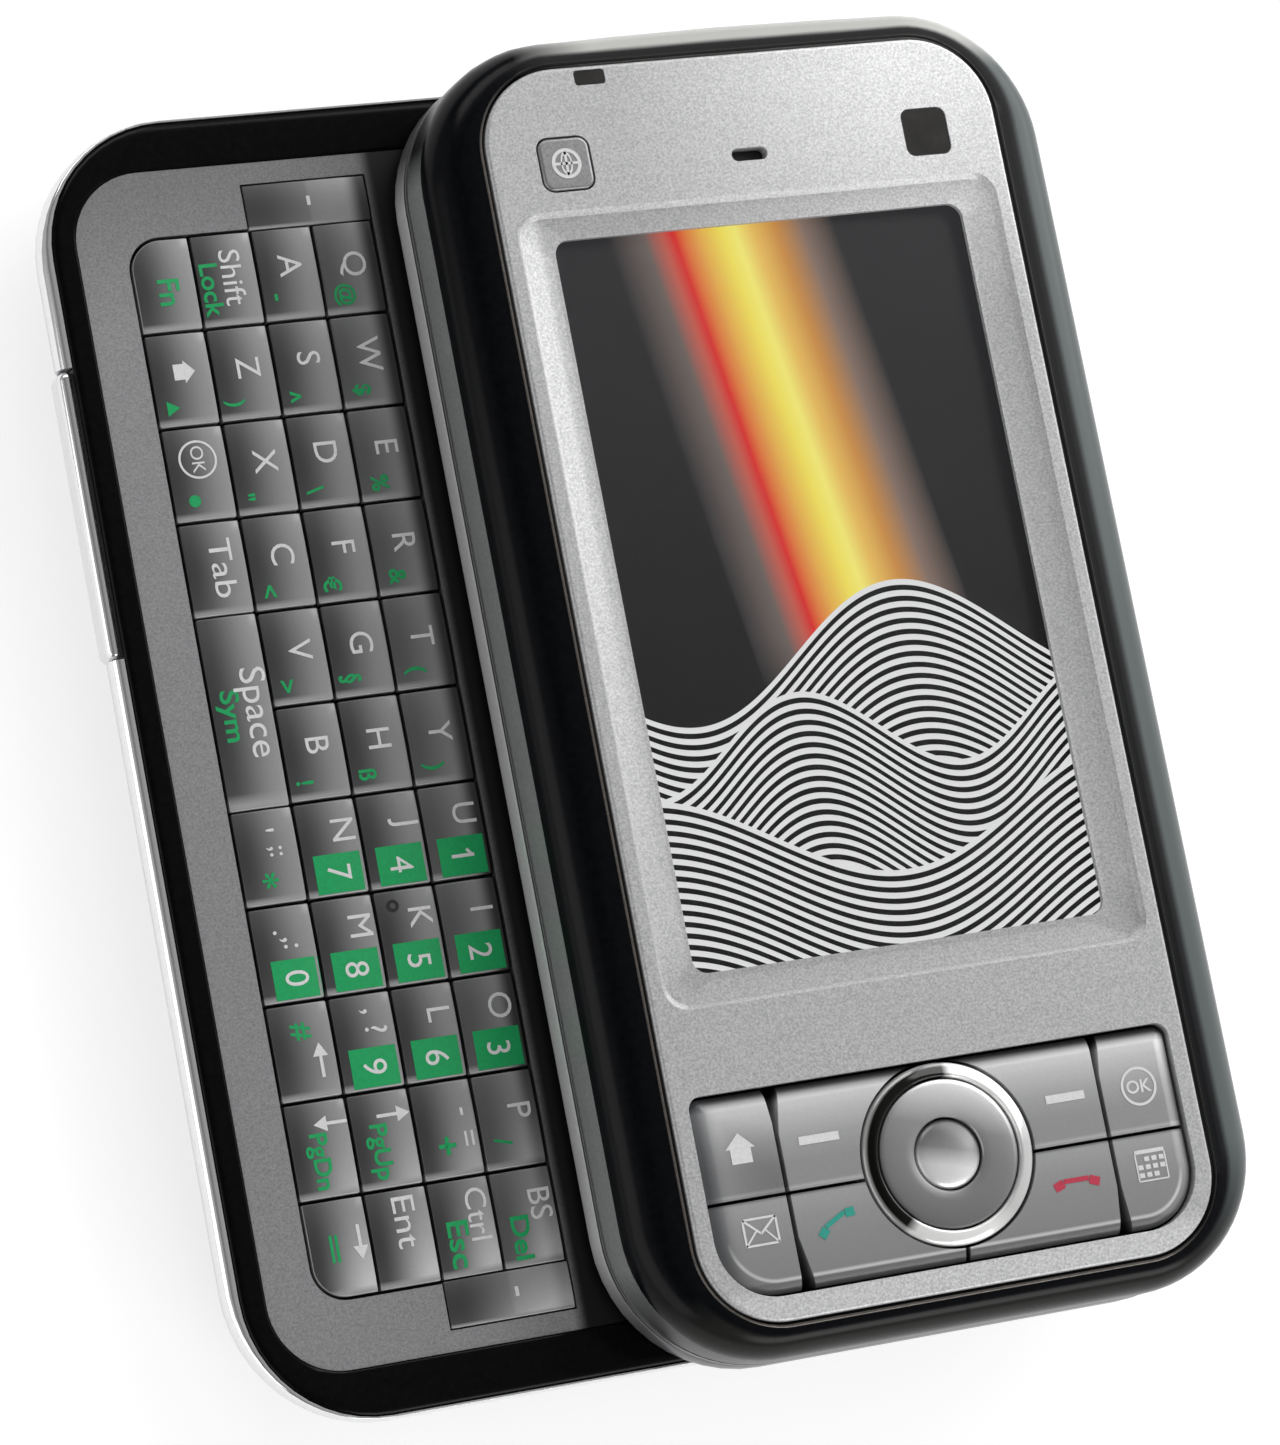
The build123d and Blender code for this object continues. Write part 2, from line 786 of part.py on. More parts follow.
def display_housing():
    """Glossy front shell with a bowed shoulder, an inner deck and a ledge for the bezel."""
    wide = (display_width, display_length, display_corner)
    narrow = (display_width - 2 * shoulder_side, display_length - 2 * shoulder_end,
              shoulder_corner)
    shell = prism(*wide, split_level, shoulder_bottom)
    shell += skinned_block(bowed_sections(wide, narrow, shoulder_bottom, shell_top,
                                          shoulder_steps))
    shell -= prism(display_width - 2 * shell_wall, display_length - 2 * shell_wall,
                   display_corner - shell_wall, split_level, deck_bottom)
    shell -= prism(display_width - 2 * shell_shoulder_wall,
                   display_length - 2 * shell_shoulder_wall,
                   display_corner - shell_shoulder_wall, deck_top, bezel_bottom - ledge_thickness)
    shell -= prism(bezel_width - 2 * ledge_width, bezel_length - 2 * ledge_width,
                   bezel_corner - ledge_width, deck_top, bezel_bottom)
    shell -= prism(bezel_width + 2 * bezel_gap, bezel_length + 2 * bezel_gap,
                   bezel_corner + bezel_gap, bezel_bottom, shell_top)
    shell += prism(field_width, field_height, field_top_corner, deck_top, keypad_bottom,
                   y=field_y)
    post_top = display_top + web_key_proud - web_key_height - press_room
    return shell + centred_block(web_post_size, web_post_size, deck_top, post_top,
                                 -top_row_x, top_row_y)


def display_rear_tray():
    """Rear shell of the display half with the pocket that the slide runs in."""
    flange_bottom = split_level - tray_flange
    tray = prism(tray_width, tray_length, tray_corner, display_bottom, flange_bottom)
    flange = prism(display_width, display_length, display_corner, flange_bottom, split_level)
    tray += chamfer(top_edges(flange), seam_chamfer)
    tray -= prism(tray_width - 2 * tray_wall, tray_length - 2 * tray_wall,
                  tray_corner - tray_wall, tray_floor_top, split_level)
    tray -= centred_block(2 * pocket_half_width, 2 * pocket_half_length, display_bottom,
                          tray_floor_top)
    for x, y in display_screw_spots():
        tray -= bar(screw_radius + fixed_gap, lip_bottom, tray_floor_top, x, y)
    return tray


def display_side_band():
    """Bright strip round the lower edge of the display half."""
    bottom = display_bottom + side_band_lift
    top = split_level - tray_flange
    band = prism(display_width, display_length, display_corner, bottom, top)
    band = chamfer(top_edges(band), seam_chamfer)
    band = chamfer(band.faces().sort_by(Axis.Z)[0].edges(), side_band_lift)
    return band - prism(tray_width + 2 * fixed_gap, tray_length + 2 * fixed_gap,
                        tray_corner + fixed_gap, bottom, top)


def display_screw_spots():
    """Places of the screws that hold the rail plate."""
    return [(x, y) for x in (-display_screw_x, display_screw_x)
            for y in (-display_screw_y, display_screw_y)]


def slide_rails():
    """Steel plate with two folded rails that hook round the slide block's edges."""
    half_width = pocket_half_width + rail_plate_side_lap
    half_length = pocket_half_length + rail_plate_end_lap
    top = tray_floor_top + rail_plate_thickness
    rails = block(-half_width, half_width, -half_length, half_length, tray_floor_top, top)
    run = pocket_half_width - pocket_gap
    for side in (-1, 1):
        web_y = side * (web_outer + web_inner) / 2
        lip_y = side * (web_outer + lip_inner) / 2
        rails += centred_block(2 * run, rail_web, lip_bottom, tray_floor_top, y=web_y)
        rails += centred_block(2 * run, web_outer - lip_inner, lip_bottom, lip_top, y=lip_y)
    for x, y in display_screw_spots():
        rails -= bar(screw_radius + fixed_gap, tray_floor_top, top, x, y)
    return rails


def display_screws():
    """Screws that hold the rail plate on the rear tray."""
    screws = []
    plate_top = tray_floor_top + rail_plate_thickness
    for x, y in display_screw_spots():
        head = bar(screw_head_radius, plate_top, plate_top + screw_head_height, x, y)
        screws.append(head + bar(screw_radius, lip_bottom + seat_gap, plate_top, x, y))
    return Compound(screws)


def key_field_sketch(inset):
    """Outline of the front key field, drawn in by an inset."""
    outline = Pos(0, field_y) * Rectangle(field_width - 2 * inset, field_height - 2 * inset)
    ends = outline.vertices().group_by(Axis.Y)
    outline = fillet(ends[0], field_bottom_corner - inset)
    ends = outline.vertices().group_by(Axis.Y)
    return fillet(ends[-1], field_top_corner - inset)


def front_bezel():
    """Metallic front plate with the sunken step round the screen and the key openings."""
    plate = prism(bezel_width, bezel_length, bezel_corner, bezel_bottom, display_top)
    plate = chamfer(top_edges(plate), bezel_chamfer)
    landing = display_top - step_depth
    plate -= skinned_block([
        (window_width + 2 * step_landing, window_length + 2 * step_landing,
         window_corner + step_landing, landing, window_y),
        (step_width, step_length, step_corner, display_top, step_y),
    ])
    plate -= prism(window_width, window_length, window_corner, bezel_bottom, display_top,
                   y=window_y)
    plate -= Pos(0, 0, bezel_bottom) * extrude(key_field_sketch(0.0), bezel_thickness)
    plate -= prism(web_key_size + 2 * moving_gap, web_key_size + 2 * moving_gap,
                   web_key_corner + moving_gap, bezel_bottom, display_top, -top_row_x, top_row_y)
    window_floor = display_top - front_window_drop - front_window_thickness
    plate -= prism(front_window_size + 2 * fixed_gap, front_window_size + 2 * fixed_gap,
                   front_window_corner + fixed_gap, window_floor, display_top,
                   top_row_x, top_row_y)
    plate -= bar(front_sight_radius, bezel_bottom, window_floor, top_row_x, top_row_y)
    slot = SlotOverall(earpiece_slot_width, earpiece_slot_height)
    plate -= Pos(0, earpiece_y, bezel_bottom) * extrude(slot, bezel_thickness)
    return plate - centred_block(indicator_width + 2 * fixed_gap,
                                 indicator_height + 2 * fixed_gap, bezel_bottom, display_top,
                                 indicator_x, indicator_y)


def touch_window():
    """Dark glass with the touch layer, behind the bezel's window."""
    margin = 2 * glass_margin
    return prism(window_width + margin, window_length + margin, window_corner + glass_margin,
                 bezel_bottom - glass_thickness, bezel_bottom, y=window_y)


def lcd_module():
    """Display module between the deck and the glass."""
    margin = 2 * screen_margin
    return centred_block(window_width + margin, window_length + margin, deck_top,
                         bezel_bottom - glass_thickness, y=window_y)


def display_board():
    """Circuit board under the deck, with chips on its lower side."""
    bottom = deck_bottom - board_thickness
    board = prism(display_board_width, display_board_length, display_board_corner, bottom,
                  deck_bottom)
    for y in (-chip_spread / 2, chip_spread / 2):
        board += centred_block(chip_size, chip_size, bottom - chip_height, bottom, y=y)
    return board


def earpiece_speaker():
    """Receiver behind the earpiece slot."""
    return centred_block(earpiece_width, earpiece_length, deck_top, bezel_bottom - seat_gap,
                         y=earpiece_y)


def front_camera():
    """Camera module behind the small front window."""
    return centred_block(front_camera_size, front_camera_size, deck_top,
                         bezel_bottom - seat_gap, top_row_x, top_row_y)


def front_camera_window():
    """Dark pane let into the bezel."""
    top = display_top - front_window_drop
    return prism(front_window_size, front_window_size, front_window_corner,
                 top - front_window_thickness, top, top_row_x, top_row_y)


def indicator_light():
    """Light pipe standing on the housing ledge at the bezel's upper edge."""
    return centred_block(indicator_width, indicator_height, bezel_bottom,
                         display_top - indicator_drop, indicator_x, indicator_y)


def web_key():
    """Small square key beside the earpiece."""
    top = display_top + web_key_proud
    key = prism(web_key_size, web_key_size, web_key_corner, top - web_key_height, top,
                -top_row_x, top_row_y)
    return chamfer(top_edges(key), moving_gap)


def front_keypad_mat():
    """Switch mat under the front keys."""
    return prism(field_width - 2 * keypad_margin, field_height - 2 * keypad_margin,
                 field_top_corner - keypad_margin, keypad_bottom, keypad_top, y=field_y)


def front_key(column, upper):
    """One of the eight front keys; column counts from the left."""
    half = front_key_spacing / 2
    side_split = field_width / 2 - outer_key_width
    splits = [-field_width / 2, -side_split, centre_split_x, side_split, field_width / 2]
    left = splits[column] + half
    right = splits[column + 1] - half
    front = (front_split_y if upper else field_bottom) + half
    back = (field_bottom + field_height if upper else front_split_y) - half
    cell = Pos((left + right) / 2, (front + back) / 2) * Rectangle(right - left, back - front)
    outline = key_field_sketch(half) & cell
    outline -= Pos(0, ring_y) * Circle(ring_radius + ring_gap)
    top = display_top - front_key_drop
    key = Pos(0, 0, front_key_bottom) * extrude(outline, top - front_key_bottom)
    return chamfer(top_edges(key), front_key_bevel)


def navigation_trim_ring():
    """Bright ring round the navigation rocker."""
    top = display_top + ring_proud
    ring = bar(ring_radius, keypad_top, top, 0, ring_y)
    ring = fillet(top_edges(ring), ring_round)
    return ring - bar(ring_radius - ring_width, keypad_top, top, 0, ring_y)


def navigation_rocker():
    """Disk that tips four ways round the select button."""
    top = display_top + rocker_disk_proud
    disk = bar(ring_radius - ring_width - moving_gap, rocker_disk_bottom, top, 0, ring_y)
    disk = chamfer(top_edges(disk), moving_gap)
    return disk - bar(select_radius + moving_gap, rocker_disk_bottom, top, 0, ring_y)


def navigation_pivot():
    """Gimbal ring under the rocker disk."""
    inner = select_radius + pivot_gap
    top = rocker_disk_bottom - press_room
    outer = bar(inner + pivot_width, front_key_bottom, top, 0, ring_y)
    return outer - bar(inner, front_key_bottom, top, 0, ring_y)


def select_button():
    """Domed centre button."""
    button = bar(select_radius, front_key_bottom, display_top + select_proud, 0, ring_y)
    return fillet(top_edges(button), select_round)


base_nodes = {
    "rear_housing": rear_housing,
    "battery_cover": battery_cover,
    "battery": battery,
    "battery_contacts": battery_contacts,
    "base_screws": base_screws,
    "base_side_band": base_side_band,
    "base_rim": base_rim,
    "keyboard_panel": keyboard_panel,
    "keyboard_mat": keyboard_mat,
    "main_board": main_board,
    "rear_camera": rear_camera,
    "rear_camera_window": rear_camera_window,
    "loudspeaker": loudspeaker,
    "vibration_motor": vibration_motor,
    "antenna": antenna,
    "usb_socket": usb_socket,
    "flex_cable": flex_cable,
    "power_key": power_key,
    "camera_key": camera_key,
    "volume_rocker": volume_rocker,
    "slide_block": slide_block,
}

display_nodes = {
    "display_housing": display_housing,
    "display_rear_tray": display_rear_tray,
    "display_side_band": display_side_band,
    "slide_rails": slide_rails,
    "display_screws": display_screws,
    "front_bezel": front_bezel,
    "touch_window": touch_window,
    "lcd_module": lcd_module,
    "display_board": display_board,
    "earpiece_speaker": earpiece_speaker,
    "front_camera": front_camera,
    "front_camera_window": front_camera_window,
    "indicator_light": indicator_light,
    "web_key": web_key,
    "front_keypad_mat": front_keypad_mat,
    "navigation_trim_ring": navigation_trim_ring,
    "navigation_rocker": navigation_rocker,
    "navigation_pivot": navigation_pivot,
    "select_button": select_button,
}

upper_front_keys = ["start_key", "left_soft_key", "right_soft_key", "ok_key"]
lower_front_keys = ["mail_key", "call_key", "end_key", "calendar_key"]


def write(name, shape):
    """Save one piece under its name."""
    shape.label = name
    export_step(shape, f"parts/{name}.step")


def main():
    os.makedirs("parts", exist_ok=True)
    for name, make in base_nodes.items():
        write(name, make())
    for row in range(keys_along):
        write(f"keyboard_keys_{row + 1:02d}", key_group(row))
    opened = Pos(slide_travel, 0, 0)
    for name, make in display_nodes.items():
        write(name, opened * make())
    for column, name in enumerate(upper_front_keys):
        write(name, opened * front_key(column, True))
    for column, name in enumerate(lower_front_keys):
        write(name, opened * front_key(column, False))


main()
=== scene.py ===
from math import atan2, cos, hypot, pi, radians, sin

import bmesh
import bpy
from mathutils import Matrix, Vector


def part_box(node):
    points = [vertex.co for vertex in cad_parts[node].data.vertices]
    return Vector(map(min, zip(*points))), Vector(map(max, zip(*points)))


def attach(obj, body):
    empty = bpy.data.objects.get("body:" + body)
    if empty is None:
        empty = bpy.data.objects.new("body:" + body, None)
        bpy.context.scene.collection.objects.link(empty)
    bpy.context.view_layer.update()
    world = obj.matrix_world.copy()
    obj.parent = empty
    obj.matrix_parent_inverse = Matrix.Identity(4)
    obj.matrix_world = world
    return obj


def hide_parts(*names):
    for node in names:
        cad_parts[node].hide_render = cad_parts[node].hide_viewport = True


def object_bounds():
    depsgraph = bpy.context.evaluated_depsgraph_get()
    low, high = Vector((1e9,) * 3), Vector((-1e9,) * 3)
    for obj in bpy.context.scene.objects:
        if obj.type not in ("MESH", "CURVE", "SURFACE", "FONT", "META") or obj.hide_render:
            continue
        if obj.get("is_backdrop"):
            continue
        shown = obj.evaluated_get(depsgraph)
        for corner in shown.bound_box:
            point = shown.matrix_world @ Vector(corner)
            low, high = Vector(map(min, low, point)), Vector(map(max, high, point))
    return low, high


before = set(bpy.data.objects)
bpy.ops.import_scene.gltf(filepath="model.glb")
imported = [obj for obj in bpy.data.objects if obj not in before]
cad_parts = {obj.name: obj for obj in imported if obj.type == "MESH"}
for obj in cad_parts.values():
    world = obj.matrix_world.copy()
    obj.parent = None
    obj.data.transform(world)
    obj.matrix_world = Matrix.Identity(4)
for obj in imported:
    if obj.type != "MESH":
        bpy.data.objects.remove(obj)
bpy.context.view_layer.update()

# ---------------------------------------------------------------- camera
# The open phone lies on its back and is seen from above its lower left corner,
# with a long lens, so that its sides hardly draw together.
camera_data = bpy.data.cameras.new("view_camera")
camera_data.sensor_width = 36.0
camera_data.lens = 131.1
camera_data.clip_start = 0.01
camera = bpy.data.objects.new("view_camera", camera_data)
camera.location = (-0.1542, -0.0713, 0.4437)
camera.rotation_euler = (radians(12.579), radians(-19.540), radians(-11.471))
bpy.context.scene.collection.objects.link(camera)
bpy.context.scene.camera = camera

# ---------------------------------------------------------------- floor and soft light
# A plain white table, a sky that is brightest on the right, with a dark gap in it, and
# four large soft boxes.
bpy.context.scene.view_settings.view_transform = "Standard"


def full_colour(value):
    """A colour with its alpha, from three levels or one grey level. A socket stays a socket."""
    if isinstance(value, bpy.types.NodeSocket):
        return value
    return (*value, 1) if isinstance(value, tuple) else (value, value, value, 1)


class Nodes:
    """The nodes of a material, a sky or a node group, with short ways to add to them."""

    def __init__(self, tree):
        self.tree = tree

    def feed(self, node, inputs):
        """Gives a node's inputs their values, or links them to other nodes' outputs."""
        for name, value in dict(inputs).items():
            if isinstance(value, bpy.types.NodeSocket):
                self.tree.links.new(value, node.inputs[name])
            else:
                node.inputs[name].default_value = value
        return node

    def add(self, kind, inputs=(), **settings):
        """A new node with its settings and inputs."""
        node = self.tree.nodes.new(kind)
        for setting, value in settings.items():
            setattr(node, setting, value)
        return self.feed(node, inputs)

    def surface(self, inputs):
        """Feeds the shader of the surface."""
        self.feed(self.tree.nodes["Principled BSDF"], inputs)

    def step(self, operation, *values, clamped=False):
        """Arithmetic on numbers and other nodes' outputs."""
        return self.add("ShaderNodeMath", enumerate(values), operation=operation,
                        use_clamp=clamped).outputs[0]

    def ramp(self, value, low, high, smooth=False):
        """The share of the way of a value from low to high."""
        return self.add("ShaderNodeMapRange", {"Value": value, "From Min": low, "From Max": high},
                        interpolation_type="SMOOTHSTEP" if smooth else "LINEAR").outputs["Result"]

    def span(self, value, low, high, smooth=False):
        """The share of the way of a point from one place to another, in millimetres."""
        return self.ramp(value, low / 1000, high / 1000, smooth)

    def mix(self, share, low, high, blend="MIX"):
        """A colour mixed from two, each a colour, a grey level or another node's output."""
        return self.add("ShaderNodeMix", {"Factor": share, "A": full_colour(low),
                                          "B": full_colour(high)},
                        data_type="RGBA", blend_type=blend).outputs["Result"]

    def shades(self, value, stops):
        """The colour that a value has between stops of (place, colour)."""
        node = self.add("ShaderNodeValToRGB", {"Fac": value})
        while len(node.color_ramp.elements) < len(stops):
            node.color_ramp.elements.new(0.5)
        for stop, (place, colour) in zip(node.color_ramp.elements, stops):
            stop.position, stop.color = place, full_colour(colour)
        return node.outputs["Color"]

    def place(self, uv_map=""):
        """The X, Y and Z of a point, or its place on the piece's own map."""
        if uv_map:
            place = self.add("ShaderNodeUVMap", uv_map=uv_map).outputs["UV"]
        else:
            place = self.add("ShaderNodeTexCoord").outputs["Object"]
        return self.add("ShaderNodeSeparateXYZ", {"Vector": place}).outputs[:]

    def overpaint(self, share, colour, blend="MIX"):
        """Lays a second colour over a finish, by a share that may vary from place to place."""
        base = self.tree.nodes["Principled BSDF"].inputs["Base Color"]
        self.tree.links.new(self.mix(share, base.links[0].from_socket, colour, blend), base)


def new_material(name, inputs):
    """A new material and its nodes, with the surface inputs that are the same all over."""
    material = bpy.data.materials.new(name)
    material.use_nodes = True
    nodes = Nodes(material.node_tree)
    nodes.surface(inputs)
    return material, nodes


def added(name, operator, **options):
    """A new object from one of the basic shapes, selected alone."""
    bpy.ops.object.select_all(action="DESELECT")
    operator(**options)
    bpy.context.object.name = name
    return bpy.context.object


# The table glows as far as it is seen, directly or in a mirror, and lights nothing.
floor_glow = 0.73
floor_white, floor_nodes = new_material("table_white", {
    "Base Color": (0.38, 0.38, 0.38, 1), "Roughness": 0.9, "Emission Color": (1, 1, 1, 1)})
floor_rays = floor_nodes.add("ShaderNodeLightPath").outputs
floor_seen = floor_nodes.step("ADD", floor_rays["Is Camera Ray"], floor_rays["Is Glossy Ray"])
floor_seen = floor_nodes.step("ADD", floor_seen, floor_rays["Is Transmission Ray"], clamped=True)
floor_nodes.surface({"Emission Strength": floor_nodes.step("MULTIPLY", floor_seen, floor_glow)})
floor = added("table", bpy.ops.mesh.primitive_plane_add, size=5, location=(0, 0, -0.0002))
floor.data.materials.append(floor_white)
floor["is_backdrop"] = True

world = bpy.data.worlds.new("studio")
bpy.context.scene.world = world
world.use_nodes = True
sky = Nodes(world.node_tree)
sky_direction = sky.add("ShaderNodeTexCoord").outputs["Generated"]
sky_across = sky.add("ShaderNodeSeparateXYZ", {"Vector": sky_direction}).outputs["X"]
sky_colour = sky.shades(sky.ramp(sky_across, -1.0, 1.0), [
    (0.0, 0.36), (0.16, 0.32), (0.25, 0.03), (0.37, 0.03), (0.45, 0.14), (0.60, 0.18),
    (0.75, 0.30), (1.0, 0.75)])
sky.feed(world.node_tree.nodes["Background"], {"Color": sky_colour})

soft_boxes = {
    "key_light": ((0.70, 0.50, 0.44), (0.95, 0.95), 9.0),
    "foot_light": ((0.30, -0.75, 0.40), (0.70, 0.35), 3.4),
    "head_light": ((-0.10, 0.85, 0.55), (0.70, 0.35), 2.6),
    "side_light": ((-0.70, -0.24, 0.27), (1.00, 0.44), 2.4),
}
for name, (place, size, power) in soft_boxes.items():
    lamp_data = bpy.data.lights.new(name, "AREA")
    lamp_data.shape = "RECTANGLE"
    lamp_data.size, lamp_data.size_y = size
    lamp_data.energy = power
    lamp = bpy.data.objects.new(name, lamp_data)
    lamp.location = place
    lamp.rotation_euler = lamp.location.to_track_quat("Z", "Y").to_euler()
    bpy.context.scene.collection.objects.link(lamp)

# ---------------------------------------------------------------- rear housing and battery cover
# Moulded black plastic with a fine satin texture. The cover slides off past the
# lower end, and both parts keep the plain shape of the mould.


def new_group(name, inputs, outputs):
    """The nodes of a new node group, and its inputs. Its sockets are given as (name, kind)."""
    nodes = Nodes(bpy.data.node_groups.new(name, "ShaderNodeTree"))
    for in_out, sockets in (("INPUT", inputs), ("OUTPUT", outputs)):
        for socket, kind in sockets:
            nodes.tree.interface.new_socket(socket, in_out=in_out, socket_type="NodeSocket" + kind)
    return nodes, nodes.add("NodeGroupInput").outputs


# Fine random grain in two colours, with its height.
grain_nodes, grain_inputs = new_group(
    "fine_grain",
    (("Scale", "Float"), ("Contrast", "Float"), ("Dark", "Color"), ("Light", "Color")),
    (("Color", "Color"), ("Height", "Float")))
grain_noise = grain_nodes.add("ShaderNodeTexNoise", {
    "Vector": grain_nodes.add("ShaderNodeTexCoord").outputs["Object"],
    "Scale": grain_inputs["Scale"], "Detail": 3.0, "Roughness": 0.7})
grain_height = grain_nodes.step(
    "MULTIPLY_ADD", grain_nodes.step("SUBTRACT", grain_noise.outputs["Fac"], 0.5),
    grain_inputs["Contrast"], 0.5, clamped=True)
grain_nodes.add("NodeGroupOutput", {
    "Color": grain_nodes.mix(grain_height, grain_inputs["Dark"], grain_inputs["Light"]),
    "Height": grain_height})


def grain(nodes, dark, light, scale, contrast):
    """The outputs of the fine grain between two colours. Scale is in grains per metre."""
    return nodes.add("ShaderNodeGroup", {
        "Scale": scale, "Contrast": contrast, "Dark": full_colour(dark),
        "Light": full_colour(light)}, node_tree=grain_nodes.tree).outputs


def grained(name, dark, light, scale, contrast, metallic, roughness, bump=0.0, extra=()):
    """A finish with fine grain in its colour and, if wanted, in its relief, and with any extra
    inputs of the surface."""
    material, nodes = new_material(name, {"Metallic": metallic, "Roughness": roughness,
                                          **dict(extra)})
    colour, height = grain(nodes, dark, light, scale, contrast)
    nodes.surface({"Base Color": colour})
    if bump:
        relief = nodes.add("ShaderNodeBump", {"Strength": bump, "Distance": 0.00005,
                                              "Height": height})
        nodes.surface({"Normal": relief.outputs["Normal"]})
    return material


def dress(material, *nodes):
    """Gives CAD nodes that keep their shape a finish."""
    for node in nodes:
        for material_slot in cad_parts[node].material_slots:
            material_slot.material = material


satin_black = grained("satin_black", (0.010, 0.010, 0.011), (0.030, 0.030, 0.032), 6000, 2.0,
                      0.0, 0.42, bump=0.5)
dress(satin_black, "rear_housing", "battery_cover")

# ---------------------------------------------------------------- inside the keyboard half
# Battery, boards, modules and screws behind the covers, in their usual finishes.
battery_label = grained("battery_wrap", (0.16, 0.17, 0.18), (0.24, 0.25, 0.26), 3000, 2.0,
                        0.0, 0.5)
board_green = grained("solder_mask", (0.010, 0.060, 0.025), (0.020, 0.110, 0.045), 2500, 3.0,
                      0.0, 0.35)
module_black = grained("module_resin", (0.012, 0.012, 0.013), (0.035, 0.035, 0.036), 4000, 2.5,
                       0.0, 0.5)
bright_steel = grained("bright_steel", (0.42, 0.42, 0.43), (0.60, 0.60, 0.61), 5000, 2.0,
                       1.0, 0.28)
black_rubber = grained("black_rubber", 0.008, 0.020, 5000, 2.0, 0.0, 0.8)
amber_film = grained("amber_film", (0.28, 0.10, 0.015), (0.42, 0.17, 0.03), 1500, 2.0, 0.0, 0.3)
dress(battery_label, "battery")
dress(board_green, "main_board")
dress(module_black, "battery_contacts", "rear_camera", "loudspeaker", "antenna")
dress(bright_steel, "base_screws", "usb_socket", "vibration_motor")
dress(black_rubber, "keyboard_mat")
dress(amber_film, "flex_cable")

# ---------------------------------------------------------------- bright band of the keyboard half
# A chromed frame round the keyboard half. It leans out from the rear housing, bows over
# a soft shoulder and ends under the black rim, with openings for the keys on its sides.
# Sizes from here on are in millimetres until a piece is finished.


def select_vertices(chosen):
    """Selects these vertices of the mesh being edited, and no others."""
    data = bpy.context.object.data
    mesh = bmesh.from_edit_mesh(data)
    chosen = set(chosen)
    for vertex in mesh.verts:
        vertex.select = vertex.index in chosen
    mesh.select_flush(True)
    bmesh.update_edit_mesh(data)


def reshape(old, new, x, y):
    """Turns the selected outline, a rounded rectangle of one section, into that of another."""
    if old[:3] == new[:3]:
        return
    mesh = bmesh.from_edit_mesh(bpy.context.object.data)
    quarters = {}
    for vertex in mesh.verts:
        if vertex.select:
            side = (1 if vertex.co.x > x else -1, 1 if vertex.co.y > y else -1)
            quarters.setdefault(side, []).append(vertex.index)
    share = new[2] / old[2]
    for (side_x, side_y), members in quarters.items():
        select_vertices(members)
        start = (x + side_x * (old[0] / 2 - old[2]), y + side_y * (old[1] / 2 - old[2]), new[3])
        end = (x + side_x * (new[0] / 2 - new[2]), y + side_y * (new[1] / 2 - new[2]), new[3])
        bpy.ops.transform.resize(value=(share, share, 1), center_override=start)
        bpy.ops.transform.translate(value=[b - a for a, b in zip(start, end)])
    select_vertices([index for members in quarters.values() for index in members])


def loft(name, sections, x=0.0, y=0.0, steps=12, ring=False):
    """A body drawn through rounded rectangles of (width, length, corner, level), closed by two
    faces, or with ring into a frame whose last section joins its first."""
    piece = added(name, bpy.ops.mesh.primitive_plane_add, size=1)
    width, length, corner, level = sections[0]
    bpy.ops.object.mode_set(mode="EDIT")
    bpy.ops.transform.resize(value=(width, length, 1))
    bpy.ops.mesh.bevel(offset=corner, affect="VERTICES", segments=steps)
    bpy.ops.transform.translate(value=(x, y, level))
    for old, new in zip(sections, sections[1:]):
        bpy.ops.mesh.extrude_region_move(
            TRANSFORM_OT_translate={"value": (0, 0, new[3] - old[3])})
        bmesh.from_edit_mesh(piece.data).verts.index_update()
        reshape(old, new, x, y)
    if ring:
        bpy.ops.mesh.select_all(action="DESELECT")
        mesh = bmesh.from_edit_mesh(piece.data)
        for face in mesh.faces:
            if len(face.verts) > 4:
                face.select_set(True)
        bmesh.update_edit_mesh(piece.data)
        bpy.ops.mesh.bridge_edge_loops()
    bpy.ops.mesh.select_all(action="SELECT")
    bpy.ops.mesh.normals_make_consistent(inside=False)
    bpy.ops.object.mode_set(mode="OBJECT")
    return piece


def bow(low, high, steps):
    """Sections of a quarter of an ellipse, upright at the low one and level at the high one."""
    sections = []
    for step in range(1, steps + 1):
        turn = pi / 2 * step / steps
        inward, upward = 1 - cos(turn), sin(turn)
        sections.append(tuple(a + (b - a) * share for a, b, share in
                              zip(low, high, (inward, inward, inward, upward))))
    return sections


def put(piece, place, turn=0.0, scale=(1, 1, 1)):
    """Scales, turns and moves a new piece, and makes that the place of its mesh."""
    piece.location, piece.rotation_euler, piece.scale = place, (0, 0, turn), scale
    bpy.ops.object.transform_apply(location=True, rotation=True, scale=True)
    return piece


def box(name, low, high):
    """A block between two corners."""
    piece = added(name, bpy.ops.mesh.primitive_cube_add, size=1,
                  location=[(a + b) / 2 for a, b in zip(low, high)])
    piece.scale = [b - a for a, b in zip(low, high)]
    bpy.ops.object.transform_apply(location=True, rotation=False, scale=True)
    return piece


def pick(*pieces):
    """Selects these pieces alone and makes the first one active."""
    bpy.ops.object.select_all(action="DESELECT")
    for piece in pieces:
        piece.select_set(True)
    bpy.context.view_layer.objects.active = pieces[0]


def apply_modifiers(piece):
    """Makes the changes of a piece's modifiers part of its mesh."""
    pick(piece)
    for modifier in list(piece.modifiers):
        bpy.ops.object.modifier_apply(modifier=modifier.name)


def combine(piece, *tools, operation="DIFFERENCE"):
    """Cuts the tools from a piece, adds them to it or keeps what they share, and removes them."""
    for tool in tools:
        change = piece.modifiers.new("change", "BOOLEAN")
        change.operation = operation
        change.object = tool
        change.solver = "EXACT"
        apply_modifiers(piece)
        bpy.data.objects.remove(tool)
    return piece


